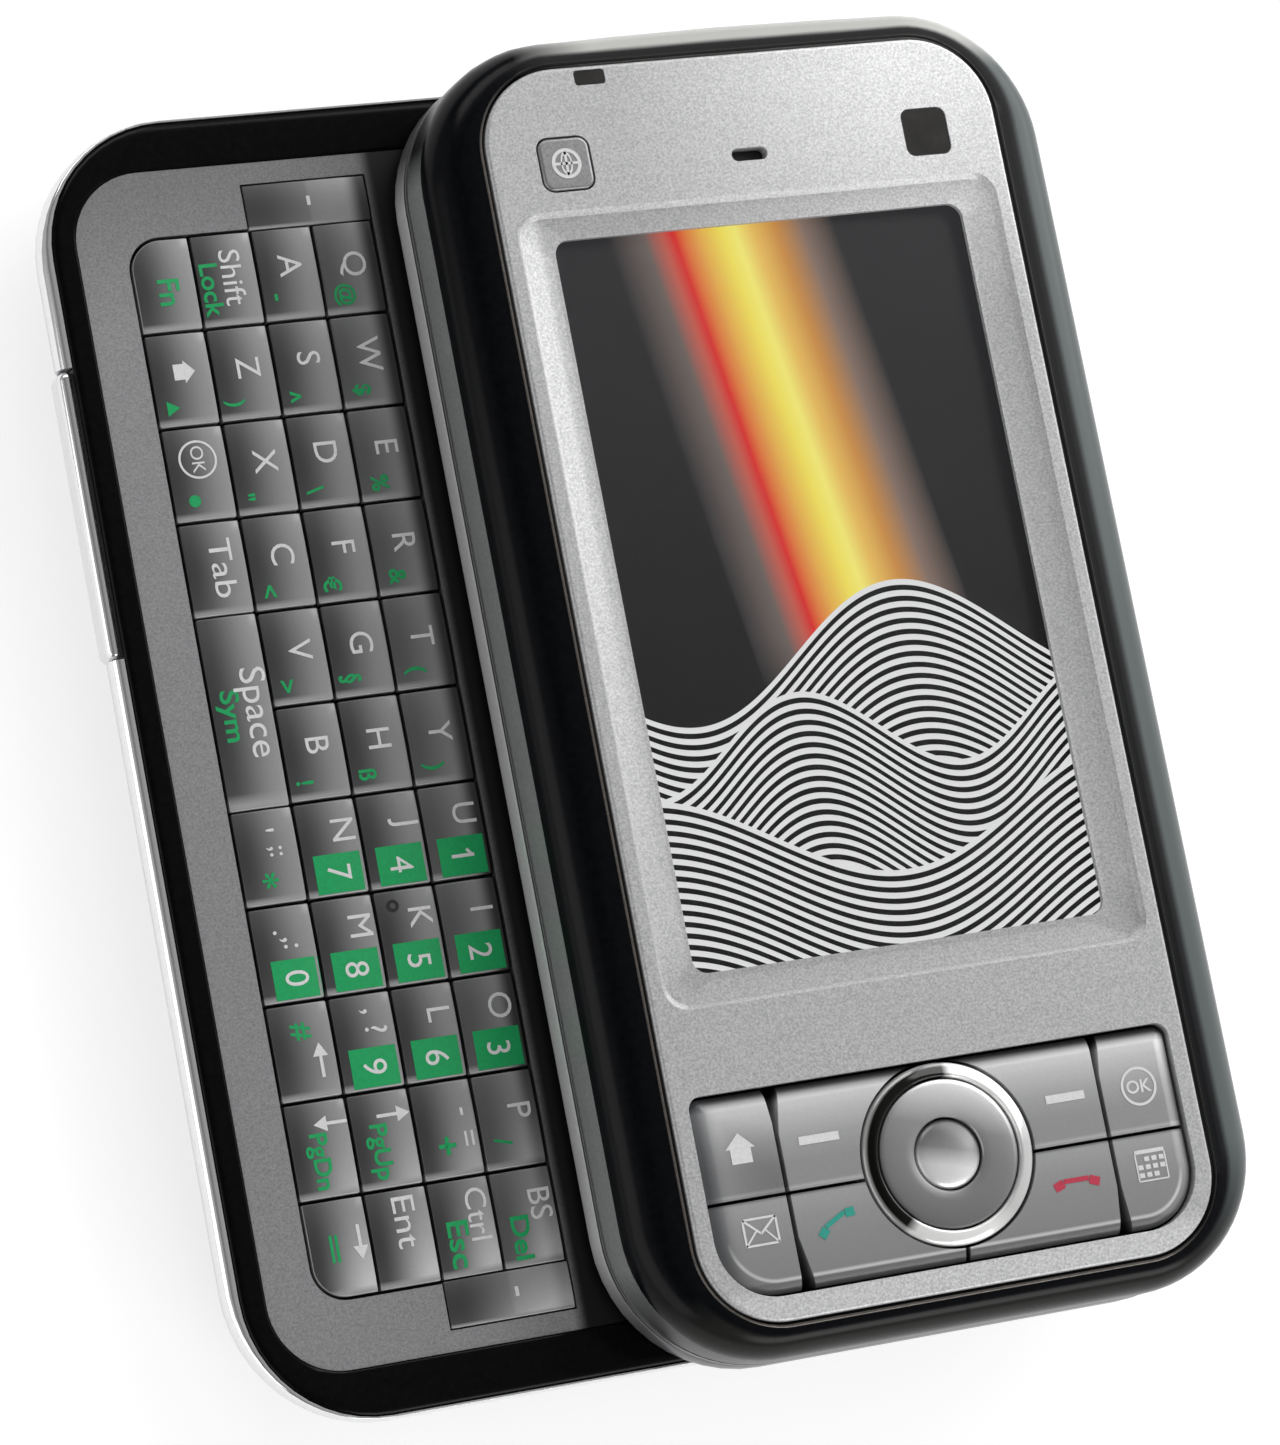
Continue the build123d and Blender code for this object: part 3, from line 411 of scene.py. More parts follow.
def round_edges(piece, width, segments=3, angle=35):
    """Rounds every edge that turns by more than the angle."""
    rounding = piece.modifiers.new("rounding", "BEVEL")
    rounding.width = width
    rounding.segments = segments
    rounding.limit_method = "ANGLE"
    rounding.angle_limit = radians(angle)
    apply_modifiers(piece)
    return piece


def finish(piece, materials, slot, body, *nodes, angle=32):
    """Shades a piece, brings it to metres, gives it its finishes and its body, and hides the CAD
    nodes that it stands for. The slot is not used.
    """
    pick(piece)
    bpy.ops.object.shade_smooth_by_angle(angle=radians(angle))
    bpy.ops.transform.resize(value=(0.001, 0.001, 0.001), center_override=(0, 0, 0))
    bpy.ops.object.transform_apply(location=True, rotation=True, scale=True)
    flats = piece.modifiers.new("flats", "WEIGHTED_NORMAL")
    flats.keep_sharp = True
    apply_modifiers(piece)
    for material in materials if isinstance(materials, list) else [materials]:
        piece.data.materials.append(material)
    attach(piece, body)
    if nodes:
        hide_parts(*nodes)
    return piece


mirror_chrome = grained("mirror_chrome", (0.80, 0.80, 0.81), (0.88, 0.88, 0.89), 1500, 1.5,
                        0.75, 0.10)
base_band_sections = [(58.4, 114.6, 11.9, 5.6), (60.6, 116.7, 13.0, 8.6)]
base_band_sections += bow((60.6, 116.7, 13.0, 8.6), (58.4, 116.3, 11.9, 10.0), 8)
base_band_sections += [(58.1, 116.0, 11.75, 10.0), (58.1, 116.0, 11.75, 8.8),
                       (56.0, 112.2, 10.7, 8.8), (56.0, 112.2, 10.7, 5.6)]
base_band = loft("keyboard_half_band", base_band_sections, ring=True)
combine(base_band,
        box("power_key_opening", (-19.65, 54, 6.1), (-10.35, 60, 7.9)),
        box("camera_key_opening", (26, -37.65, 6.1), (32, -28.35, 7.9)),
        box("volume_opening", (-32, 10.25, 6.25), (-26, 36.55, 10.5)),
        box("usb_opening", (10.85, -60, 2.85), (19.15, -52.2, 6.75)))
finish(base_band, mirror_chrome, "bright_band", "keyboard_half", "base_side_band")

# ---------------------------------------------------------------- keys of the keyboard half's sides
# The volume rocker, the power key and the camera key, moulded and chromed like the
# band. They sit in its openings and press on switches on the main board.
volume_key = box("volume_key", (-30.4, 10.4, 6.4), (-28.5, 36.4, 9.85))
round_edges(volume_key, 0.8, 5)
combine(volume_key, box("rim_clearance", (-29.45, 9, 8.6), (-28, 38, 11)))
round_edges(volume_key, 0.06, 1, 60)
finish(volume_key, mirror_chrome, "bright_band", "volume_rocker", "volume_rocker")
for name, body, low, high in (
        ("power_button", "power_key", (-19.5, 55.1, 6.25), (-10.5, 58.5, 7.75)),
        ("shutter_button", "camera_key", (27.0, -37.5, 6.25), (30.4, -28.5, 7.75))):
    finish(round_edges(box(name, low, high), 0.35, 4), mirror_chrome, "bright_band", body, body)

# ---------------------------------------------------------------- glossy rim of the keyboard half
# A black lacquered frame clipped inside the bright band, with its inner edge turned
# down to the grey panel.
gloss_black = grained("black_lacquer", 0.0015, 0.0035, 1500, 2.0, 0.0, 0.20,
                      extra={"Specular IOR Level": 0.10})
base_rim_sections = [(55.9, 112.1, 10.65, 8.0), (55.9, 112.1, 10.65, 8.8),
                     (58.0, 115.9, 11.7, 8.8), (58.0, 115.9, 11.7, 9.75)]
base_rim_sections += bow((58.0, 115.9, 11.7, 9.75), (56.4, 114.0, 10.9, 10.2), 6)
base_rim_sections += [(53.9, 107.9, 6.75, 10.2), (53.6, 107.4, 6.6, 10.05), (53.6, 107.4, 6.6, 8.8),
                      (51.4, 105.2, 5.5, 8.8), (51.4, 105.2, 5.5, 8.0)]
finish(loft("keyboard_half_rim", base_rim_sections, ring=True), gloss_black, "rim_black",
       "keyboard_half", "base_rim")

# ---------------------------------------------------------------- keyboard panel
# A plate painted metallic grey, punched for the keyboard and glued into the rim. It is darker at
# its upper end, and carries a painted shadow of the display half next to and under it.
panel_paint = grained("panel_paint", (0.19, 0.19, 0.195), (0.30, 0.30, 0.305), 4500, 3.0,
                      0.35, 0.42)
panel = Nodes(panel_paint.node_tree)
panel_x, panel_y, _ = panel.place()
panel.overpaint(1.0, panel.step("MULTIPLY_ADD", panel.span(panel_y, 40, 52), -0.33, 1.1),
                "MULTIPLY")
# A painted shadow of the display half on the strip next to it.
panel.overpaint(panel.span(panel_x, 0.2, 1.8, smooth=True), 0.004)
dress(panel_paint, "keyboard_panel")

# ---------------------------------------------------------------- keyboard keys
# Forty-one small caps in metallic grey paint over eleven strips, one to a row, that the rubber mat
# carries. Each cap is slightly crowned, and painted shading fades it from dark to light.
key_columns = (-19.325, -13.575, -7.825, -2.075)
first_row_y, row_pitch = 43.085, 8.63
key_rows = [first_row_y - row_pitch * row for row in range(11)]
key_level, key_height, key_crown = 8.6, 1.32, 0.2
cap_width, cap_length = 5.45, 8.33
space_y, space_length = 4.25, 17.26
soft_x, soft_width, soft_length = -4.95, 11.5, 4.1
soft_ends = {0: 47.4, 10: -51.63}


def key_cap(name, x, y, width, length, columns=6, rows=8):
    """A cap with straight sides and a crowned top."""
    cap = added(name, bpy.ops.mesh.primitive_grid_add, x_subdivisions=columns,
                y_subdivisions=rows, size=1)
    bpy.ops.object.mode_set(mode="EDIT")
    bpy.ops.transform.resize(value=(width, length, 1))
    bpy.ops.transform.translate(value=(x, y, key_level))
    bpy.ops.mesh.extrude_region_move(TRANSFORM_OT_translate={"value": (0, 0, key_height)})
    for axis, count, middle, span in ((0, columns, x, width), (1, rows, y, length)):
        for line in range(1, count):
            share = 2 * line / count - 1
            place = middle + share * span / 2
            mesh = bmesh.from_edit_mesh(cap.data)
            mesh.verts.index_update()
            select_vertices([v.index for v in mesh.verts if v.co.z > key_level + key_height / 2
                             and abs(v.co[axis] - place) < 0.01])
            bpy.ops.transform.translate(value=(0, 0, key_crown / 2 * (1 - share * share)))
    bpy.ops.mesh.select_all(action="SELECT")
    bpy.ops.mesh.normals_make_consistent(inside=False)
    bpy.ops.object.mode_set(mode="OBJECT")
    return cap


def map_face(cap, left, bottom, width, length):
    """Lays the cap's own map over its top, from 0 to 1 each way."""
    layers = cap.data.uv_layers
    layer = layers[0] if layers else layers.new(name="cap_map")
    layer.name = "cap_map"
    for loop in cap.data.loops:
        place = cap.data.vertices[loop.vertex_index].co
        layer.data[loop.index].uv = ((place.x - left) / width, (place.y - bottom) / length)


def join(name, pieces):
    """Joins pieces into the first one."""
    pick(*pieces)
    if len(pieces) > 1:
        bpy.ops.object.join()
    pieces[0].name = name
    return pieces[0]


def copy_of(piece, move=(0, 0, 0)):
    """A copy with its own mesh, moved."""
    twin = piece.copy()
    twin.data = piece.data.copy()
    bpy.context.scene.collection.objects.link(twin)
    pick(twin)
    bpy.ops.transform.translate(value=move)
    bpy.ops.object.transform_apply(location=True, rotation=False, scale=False)
    return twin


def speckled(nodes, colour, low=0.92):
    """The colour with fine metallic grain in it."""
    return nodes.mix(1.0, colour, grain(nodes, low, 1.0, 5000, 2.0)["Color"], "MULTIPLY")


# Painted light and shade: the paint goes from dark on the left of a cap to light on its right, with
# a painted pool of light low down on the last rows, a painted highlight along the lower edge, and a
# painted shadow of the display half on the last column.
keyboard_paint, keys = new_material("keyboard_cap_paint", {"Metallic": 0.25, "Roughness": 0.38})
cap_u, cap_v, _ = keys.place("cap_map")
key_x, key_y, _ = keys.place()
last_rows = keys.span(key_y, -28, -46)
low_part = keys.step("POWER", keys.ramp(cap_v, 1.0, 0.06), 1.2)
painted_lightness = keys.step(
    "MULTIPLY", keys.ramp(cap_u, 0.08, 0.95, smooth=True),
    keys.step("MULTIPLY_ADD", keys.step("MULTIPLY", last_rows, low_part), 0.62, 0.42))
cap_ends = keys.step("POWER", keys.step("ABSOLUTE", keys.step("MULTIPLY_ADD", cap_v, 2.0, -1.0)),
                     2.0)
painted_lightness = keys.step("ADD", painted_lightness, keys.step("MULTIPLY", cap_ends, 0.06))
# Painted light: the caps of the last column are a little lighter, against the shade of the display
# half.
last_column = keys.step("MULTIPLY", keys.span(key_x, -5.0, -4.6), 0.09)
painted_lightness = keys.step("ADD", painted_lightness, last_column, clamped=True)
key_colour = speckled(keys, keys.mix(painted_lightness, (0.05, 0.05, 0.052), 0.62))
# A painted highlight along the lower edge of each cap.
key_colour = keys.mix(keys.ramp(cap_v, 0.085, 0.03), key_colour, 0.36)
# A painted shadow of the display half over the right edge of the last column, weaker on the last
# rows.
display_shadow = keys.step("MULTIPLY", keys.span(key_x, -1.3, 0.3, smooth=True),
                   keys.step("MULTIPLY_ADD", last_rows, -0.55, 0.88))
keys.surface({"Base Color": keys.mix(display_shadow, key_colour, 0.004)})
plain_cap = key_cap("plain_cap", 0, 0, cap_width, cap_length)
map_face(plain_cap, -cap_width / 2, -cap_length / 2, cap_width, cap_length)
key_groups = []
for row, row_y in enumerate(key_rows):
    caps = []
    for column, column_x in enumerate(key_columns):
        if column == 0 and row in (4, 5):
            continue
        cap = copy_of(plain_cap, (column_x, row_y, 0))
        if column == 0 and row in soft_ends:
            combine(cap, loft("outer_corner", [(40, 94.63, 2.85, 8.0), (40, 94.63, 2.85, 11.0)],
                              x=-2.05, y=-0.065), operation="INTERSECT")
        caps.append(cap)
    if row == 4:
        space = key_cap("space_cap", key_columns[0], space_y, cap_width, space_length, rows=14)
        map_face(space, key_columns[0] - cap_width / 2, -4.38, cap_width, space_length)
        caps.append(space)
    if row in soft_ends:
        soft = key_cap("soft_cap", soft_x, soft_ends[row] + soft_length / 2, soft_width,
                       soft_length, columns=8, rows=5)
        map_face(soft, soft_x - soft_width / 2, soft_ends[row], soft_width, soft_length)
        caps.append(soft)
    key_groups.append(round_edges(join(f"key_row_{row + 1:02d}", caps), 0.16, 3, 50))
bpy.data.objects.remove(plain_cap)

# ---------------------------------------------------------------- lettering of the keyboard
# White and green letters and signs, printed on the caps in thick ink, and a small dark
# ring. They are read from the long side of the phone, when it is held across.
print_level = 24
capital_share = 0.68


def lettering(text, x, y, height, turn=-90.0, weight=0.0):
    """Flat letters whose middle is at a place, above all the caps, thickened by a weight."""
    word = added("word", bpy.ops.object.text_add)
    word.data.body = text
    word.data.size = height / capital_share
    word.data.resolution_u = 4
    word.data.offset = weight
    bpy.ops.object.convert(target="MESH")
    bpy.ops.object.origin_set(type="ORIGIN_GEOMETRY", center="BOUNDS")
    stretch = 1.22 if len(text) == 3 else 1.06 if len(text) > 3 else 1.0
    return put(bpy.context.object, (x, y, print_level), radians(turn), (stretch, 1, 1))


def stroke(start, end, width):
    """A flat straight stroke."""
    across, up = end[0] - start[0], end[1] - start[1]
    line = added("stroke", bpy.ops.mesh.primitive_grid_add, x_subdivisions=4, y_subdivisions=1,
                 size=1)
    return put(line, (start[0] + across / 2, start[1] + up / 2, print_level), atan2(up, across),
               (hypot(across, up), width, 1))


def circle_line(x, y, radius, width, squeeze=1.0):
    """A flat ring, or with squeeze an oval one."""
    line = added("ring", bpy.ops.mesh.primitive_circle_add, vertices=40, radius=radius,
                 fill_type="NGON")
    bpy.ops.object.mode_set(mode="EDIT")
    bpy.ops.mesh.inset(thickness=width)
    bpy.ops.mesh.delete(type="ONLY_FACE")
    bpy.ops.object.mode_set(mode="OBJECT")
    return put(line, (x, y, print_level), scale=(squeeze, 1, 1))


def sign_of(parts, x, y, turn):
    """One sign from its parts, turned by some degrees and moved to its place."""
    return put(join("sign", parts), (x, y, 0), radians(turn))


def triangle(radius, x, y, turn=0.0, squeeze=1.0):
    """A flat triangle."""
    face = added("triangle", bpy.ops.mesh.primitive_circle_add, vertices=3, radius=radius,
                 fill_type="NGON")
    return put(face, (x, y, print_level), turn, (1, squeeze, 1))


def house(x, y, width, turn=-90.0):
    """A plain house with a pointed roof."""
    walls = stroke((-0.36 * width, -0.24 * width), (0.36 * width, -0.24 * width), 0.48 * width)
    return sign_of([walls, triangle(0.6 * width, 0, 0.17 * width, squeeze=0.56)], x, y, turn)


def arrow(x, y, turn):
    """A flat arrow with a solid head, which points right before it is turned."""
    return sign_of([stroke((-1.5, 0), (0.6, 0), 0.3), triangle(0.8, 0.75, 0, -pi / 2)], x, y, turn)


def print_on(name, marks, surface, lift, thickness):
    """Lays flat marks onto a surface below them and gives the ink its thickness."""
    ink = join(name, marks)
    lay = ink.modifiers.new("lay", "SHRINKWRAP")
    lay.target = surface
    lay.wrap_method = "PROJECT"
    lay.use_project_z = True
    lay.use_negative_direction = True
    lay.use_positive_direction = False
    lay.offset = lift
    body = ink.modifiers.new("body", "SOLIDIFY")
    body.thickness = thickness
    body.offset = 1.0
    apply_modifiers(ink)
    return ink


def ink_finish(name, dark, light):
    """A matt ink."""
    return grained(name, dark, light, 4000, 2.0, 0.0, 0.5)


white_ink = ink_finish("white_ink", 0.60, 0.74)
green_ink = ink_finish("green_ink", (0.0, 0.29, 0.08), (0.0, 0.37, 0.11))
black_ink = ink_finish("black_ink", 0.004, 0.012)

# Each row has its white and its green signs, as (sign, x, y, height).
key_signs = [
    ([("Shift", -13.1, 43.2, 1.9), ("A", -7.6, 43.8, 2.1), ("Q", -1.8, 43.4, 2.1),
      ("-", -4.8, 49.6, 2.4)],
     [("Fn", -19.1, 42.4, 1.9), ("Lock", -15.2, 42.2, 1.6), ("-", -9.4, 41.0, 1.5),
      ("@", -3.0, 40.6, 1.4)]),
    ([("Z", -13.2, 34.9, 2.1), ("S", -7.5, 35.2, 2.1),
      ("W", -1.8, 35.0, 2.1)],
     [("▲", -20.6, 31.9, 0.9), (")", -15.0, 31.8, 1.4), ("^", -9.3, 31.8, 1.6),
      ("$", -3.1, 31.8, 1.4)]),
    ([("OK", -19.3, 27.1, 1.15), ("X", -13.2, 26.3, 2.1), ("D", -7.5, 26.5, 2.1),
      ("E", -1.8, 26.4, 2.1)],
     [("●", -20.2, 23.4, 0.9), ("\"", -15.0, 23.2, 1.5), ("\\", -9.1, 23.2, 1.5),
      ("%", -3.0, 23.2, 1.5)]),
    ([("Tab", -18.8, 17.2, 2.0), ("C", -13.2, 17.8, 2.1), ("F", -7.5, 17.8, 2.1),
      ("R", -1.8, 17.6, 2.1)],
     [("<", -14.9, 14.6, 1.5), ("€", -9.1, 14.6, 1.5), ("&", -3.0, 14.6, 1.5)]),
    ([("Space", -18.3, 4.1, 2.3), ("V", -13.2, 9.1, 2.1), ("G", -7.5, 9.1, 2.1),
      ("T", -1.8, 9.0, 2.1)],
     [("Sym", -20.6, 4.0, 1.6), (">", -14.9, 6.0, 1.5), ("§", -9.1, 6.0, 1.5),
      ("(", -3.0, 6.0, 1.5)]),
    ([("B", -13.2, 0.5, 2.1), ("H", -7.5, 0.4, 2.1), ("Y", -1.8, 0.3, 2.1)],
     [("!", -14.9, -2.7, 1.5), ("ß", -9.1, -2.7, 1.5), (")", -3.0, -2.7, 1.5)]),
    ([("'", -18.9, -6.4, 2.0), (";:", -18.8, -8.3, 1.7), ("N", -12.3, -7.2, 2.1),
      ("J", -6.7, -7.2, 2.1), ("U", -1.0, -7.2, 2.1), ("7", -13.3, -10.95, 2.1),
      ("4", -7.55, -10.95, 2.1), ("1", -1.8, -10.95, 2.1)],
     [("*", -19.6, -10.8, 2.2)]),
    ([(".", -20.1, -15.4, 1.9), (",:", -19.0, -16.4, 1.9), ("M", -12.3, -15.8, 2.1),
      ("K", -6.7, -15.8, 2.1), ("I", -1.0, -15.8, 2.1), ("0", -18.8, -19.55, 2.1),
      ("8", -13.3, -19.55, 2.1), ("5", -7.55, -19.55, 2.1), ("2", -1.8, -19.55, 2.1)],
     []),
    ([(",", -13.5, -23.3, 2.0), ("?", -12.6, -25.0, 2.0),
      ("L", -6.7, -24.5, 2.1), ("O", -1.0, -24.5, 2.1), ("9", -13.3, -28.2, 2.1),
      ("6", -7.55, -28.2, 2.1), ("3", -1.8, -28.2, 2.1)],
     [("#", -19.4, -24.2, 1.7)]),
    ([("-", -6.3, -33.2, 1.9),
      ("=", -6.0, -35.6, 1.9), ("P", -1.0, -33.9, 2.1)],
     [("PgDn", -19.8, -35.6, 1.5), ("PgUp", -14.3, -35.6, 1.5),
      ("/", -3.0, -36.4, 1.5)]),
    ([("Ent", -13.1, -41.9, 2.0), ("Ctrl", -6.5, -42.2, 1.9),
      ("BS", -0.7, -42.2, 2.0), ("-", -4.3, -49.4, 2.4)],
     [("Esc", -8.6, -44.6, 1.85), ("Del", -2.9, -44.9, 1.6)]),
]
arrow_places = {8: [(-18.0, -26.9, 90)], 9: [(-18.2, -32.4, 180), (-12.5, -32.5, 0)],
                10: [(-17.5, -42.9, -90)]}
number_columns = {6: (1, 2, 3), 7: (0, 1, 2, 3), 8: (1, 2, 3)}
number_middles = (-18.8, -13.325, -7.575, -1.825)
number_drop, number_size = 2.25, (4.3, 3.45, 1)
for row, (white_signs, green_signs) in enumerate(key_signs):
    body = f"keyboard_keys_{row + 1:02d}"
    group = key_groups[row]
    white = [lettering(*sign) for sign in white_signs]
    white += [arrow(*place) for place in arrow_places.get(row, ())]
    green = [lettering(*sign, weight=0.045) for sign in green_signs]
    if row == 1:
        white.append(house(-19.1, 35.1, 2.0))
    if row == 2:
        white.append(circle_line(-19.3, 27.1, 1.75, 0.2))
    if row == 6:
        white.append(stroke((-0.95, -10.95), (-1.4, -10.4), 0.26))
    if row == 9:
        green += [stroke((-8.9, -36.0), (-7.3, -36.0), 0.38),
                  stroke((-8.1, -35.2), (-8.1, -36.8), 0.38)]
    if row == 10:
        green += [stroke((x, -42.0), (x, -44.4), 0.26) for x in (-19.6, -20.1)]
    for column in number_columns.get(row, ()):
        field = added("number_field", bpy.ops.mesh.primitive_grid_add, x_subdivisions=6,
                      y_subdivisions=6, size=1)
        green.append(put(field, (number_middles[column], key_rows[row] - number_drop, print_level),
                         scale=number_size))
    inks = [(print_on(f"white_signs_{row + 1:02d}", white, group, 0.015, 0.035), white_ink)]
    if green:
        green_print = print_on(f"green_signs_{row + 1:02d}", green, group, 0.012, 0.02)
        inks.append((green_print, green_ink))
    if row == 7:
        finger_ring = [circle_line(-9.05, -14.5, 0.55, 0.28)]
        inks.append((print_on("finger_mark", finger_ring, group, 0.015, 0.03), black_ink))
    for ink, colour in inks:
        finish(ink, colour, "keyboard_key_grey", body)
    finish(group, keyboard_paint, "keyboard_key_grey", body, body)

# ---------------------------------------------------------------- rails between the halves
# The display half rides on folded steel rails in its tray, along a steel block that
# stands on the keyboard half. Both keep the shape of the stamped parts.
dress(bright_steel, "slide_rails", "slide_block")

# ---------------------------------------------------------------- bright band of the display half
# A chromed frame round the waist of the display half, widest at its middle, with the
# dark tray pressed up into it from below.
display_x = 33.4
satin_chrome = grained("satin_chrome", (0.50, 0.50, 0.505), (0.62, 0.62, 0.625), 2500, 1.5,
                       0.35, 0.30)
display_band_sections = [(59.1, 117.1, 12.05, 10.9), (60.8, 118.8, 12.9, 10.9),
                         (61.25, 119.1, 13.1, 11.1), (61.45, 119.2, 13.2, 11.5),
                         (61.45, 119.2, 13.2, 11.9), (61.3, 119.15, 13.15, 12.4),
                         (61.1, 119.05, 13.05, 12.85), (60.9, 118.9, 12.95, 13.2),
                         (60.6, 118.6, 12.8, 13.38), (59.1, 117.1, 12.05, 13.38)]
satin = Nodes(satin_chrome.node_tree)
_, satin_y, _ = satin.place()
satin_ends = satin.step("MAXIMUM", satin.span(satin_y, -47.0, -54.5),
                        satin.span(satin_y, 47.0, 52.0))
satin.overpaint(satin.step("MULTIPLY", satin_ends, 0.88), (0.05, 0.05, 0.055))
display_band = loft("display_half_band", display_band_sections, x=display_x, ring=True)
finish(display_band, satin_chrome, "bright_band", "display_half", "display_side_band")
# The edge of the tray below the band has one bright line in it.
tray_paint = grained("tray_paint", (0.10, 0.10, 0.105), (0.16, 0.16, 0.165), 3500, 2.5, 0.3, 0.38)
tray = Nodes(tray_paint.node_tree)
tray_lines = tray.shades(tray.span(tray.place()[2], 13.4, 14.4), [
    (0.0, 1.0), (0.02, 0.35), (0.32, 0.35), (0.42, 1.8), (0.62, 1.8), (0.72, 0.35), (1.0, 0.35)])
tray.overpaint(1.0, tray_lines, "MULTIPLY")
dress(tray_paint, "display_rear_tray")

# ---------------------------------------------------------------- housing of the display half
# A black lacquered shell whose sides stand upright on the tray and then roll over to the recess of
# the front plate, with a painted grey reflection on the upright part.
# The grey of the upright part is a painted reflection. It fades to near black towards both ends.
wall_grey = grained("wall_grey", (0.20, 0.205, 0.205), (0.29, 0.295, 0.295), 3500, 2.5, 0.2, 0.36)
wall = Nodes(wall_grey.node_tree)
_, wall_y, _ = wall.place()
wall.overpaint(wall.step("MAXIMUM", wall.span(wall_y, -49.5, -55.5),
                         wall.span(wall_y, 48.0, 51.5)), (0.008, 0.008, 0.009))
# The roll of the shell carries a painted reflection, satin grey along its right side and paler
# along its top, and a faint painted sheen at its lower end.
shoulder_black = grained("shoulder_lacquer", (0.0018, 0.0020, 0.0026), (0.0040, 0.0044, 0.0056),
                         1500, 2.0, 0.0, 0.22, extra={"Specular IOR Level": 0.10})
shoulder = Nodes(shoulder_black.node_tree)
shoulder_x, shoulder_y, shoulder_z = shoulder.place()
outer_roll = shoulder.span(shoulder_z, 21.17, 20.97, smooth=True)
right_reflection = shoulder.step(
    "MULTIPLY", shoulder.span(shoulder_x, display_x + 18, display_x + 25.5),
    shoulder.span(shoulder_y, -57.0, -47.5))
top_reflection = shoulder.step(
    "MULTIPLY", shoulder.span(shoulder_y, 53.0, 57.2, smooth=True),
    shoulder.span(shoulder_x, display_x - 20.5, display_x - 13))
low_sheen = shoulder.span(shoulder_y, -53.0, -56.0)
for share, colour in ((low_sheen, (0.018, 0.018, 0.017)), (right_reflection, (0.100, 0.113, 0.113)),
                      (top_reflection, (0.52, 0.52, 0.50))):
    shoulder.overpaint(shoulder.step("MULTIPLY", outer_roll, share), colour)
housing_sections = [(58.2, 116.2, 11.6, 15.1), (58.2, 116.2, 11.6, 14.4),
                    (60.9, 118.9, 12.95, 14.4), (61.0, 119.0, 13.0, 14.6),
                    (60.9, 119.0, 12.95, 16.4), (60.6, 119.0, 12.8, 17.45)]
housing_sections += bow((60.6, 119.0, 12.8, 17.45), (50.9, 114.1, 8.25, 21.25), 14)
housing_sections += [(50.75, 113.95, 8.15, 21.3), (50.5, 113.7, 8.0, 21.3),
                     (50.35, 113.55, 7.85, 21.2), (50.3, 113.5, 7.8, 20.2),
                     (46.3, 109.5, 5.75, 20.2), (46.3, 109.5, 5.75, 19.2),
                     (56.8, 114.8, 10.9, 19.2), (56.8, 114.8, 10.9, 16.1)]
shell = loft("display_half_shell", housing_sections, x=display_x, steps=16)
bow_reach, bow_steps = 0.53, 10


def drawn_out(x, y, z):
    """How far a point of the outside of the upper end lies beyond a straight end."""
    x = abs(x - display_x)
    if y < 46.5 or z < 15.5 or hypot(max(x - 17.5, 0), y - 46.5) < 11:
        return 0
    across = max(0, cos(x / 30 * pi / 2)) ** 1.5
    return bow_reach * across * min(1, (z - 14.6) / 1.8, (21.25 - z) / 0.6)


bpy.ops.object.mode_set(mode="EDIT")
for cut in (-14, -10, -5, 0, 5, 10, 14):
    bpy.ops.mesh.select_all(action="SELECT")
    bpy.ops.mesh.bisect(plane_co=(display_x + cut, 0, 0), plane_no=(1, 0, 0))
bmesh.from_edit_mesh(shell.data).verts.index_update()
reaches = [drawn_out(*vertex.co) for vertex in bmesh.from_edit_mesh(shell.data).verts]
for level in range(bow_steps):
    select_vertices([index for index, reach in enumerate(reaches)
                     if reach > (level + 0.5) * bow_reach / bow_steps])
    bpy.ops.transform.translate(value=(0, bow_reach / bow_steps, 0))
bpy.ops.object.mode_set(mode="OBJECT")
combine(shell,
        box("key_platform", (display_x - 23.25, -54.3, 15.9), (display_x + 23.25, -36.2, 17.2)),
        box("web_key_post", (display_x - 19.45, 45.85, 15.9), (display_x - 15.95, 49.35, 18.45)),
        operation="UNION")
# Round the plate runs a thin lip with a painted brownish highlight, black at the right and at the
# top.
lip_highlight = grained("lip_highlight", (0.10, 0.090, 0.080), (0.17, 0.155, 0.14), 2500, 2.0, 0.6, 0.30)
lip = Nodes(lip_highlight.node_tree)
lip_x, lip_y, _ = lip.place()
lip.overpaint(lip.step("MAXIMUM", lip.span(lip_x, display_x + 18.5, display_x + 23),
                       lip.span(lip_y, 50.0, 56.0)), (0.008, 0.008, 0.007))
for face in shell.data.polygons:
    outward = face.normal.x * (face.center.x - display_x) / 30 + face.normal.y * face.center.y / 59
    if 14.4 < face.center.z < 17.9 and outward > 0.3:
        face.material_index = 1
    elif 21.243 < face.center.z < 21.31:
        face.material_index = 2
finish(shell, [shoulder_black, wall_grey, lip_highlight], "housing_black", "display_half",
       "display_housing")

# ---------------------------------------------------------------- inside the display half
# Board, key mat, speaker, camera, gimbal and screws that fill the housing behind the
# plate, in the finishes of the parts inside the keyboard half.
dress(board_green, "display_board")
dress(module_black, "earpiece_speaker", "front_camera", "navigation_pivot")
dress(bright_steel, "display_screws")
dress(black_rubber, "front_keypad_mat")

# ---------------------------------------------------------------- front plate
# A moulded plate in fine silver paint, let into the shell. Its edge is rounded, and it
# has a sunken field for the screen, openings for the keys and seats for the small parts.
window_y = 7.6
side_x, side_y = 17.7, 47.6
pipe_x, pipe_y = display_x - 13.9, 55.4


def prism(name, outline, levels, x, y, steps=8):
    """A body with one rounded rectangle of (width, length, corner) all the way up."""
    return loft(name, [(*outline, level) for level in levels], x=x, y=y, steps=steps)
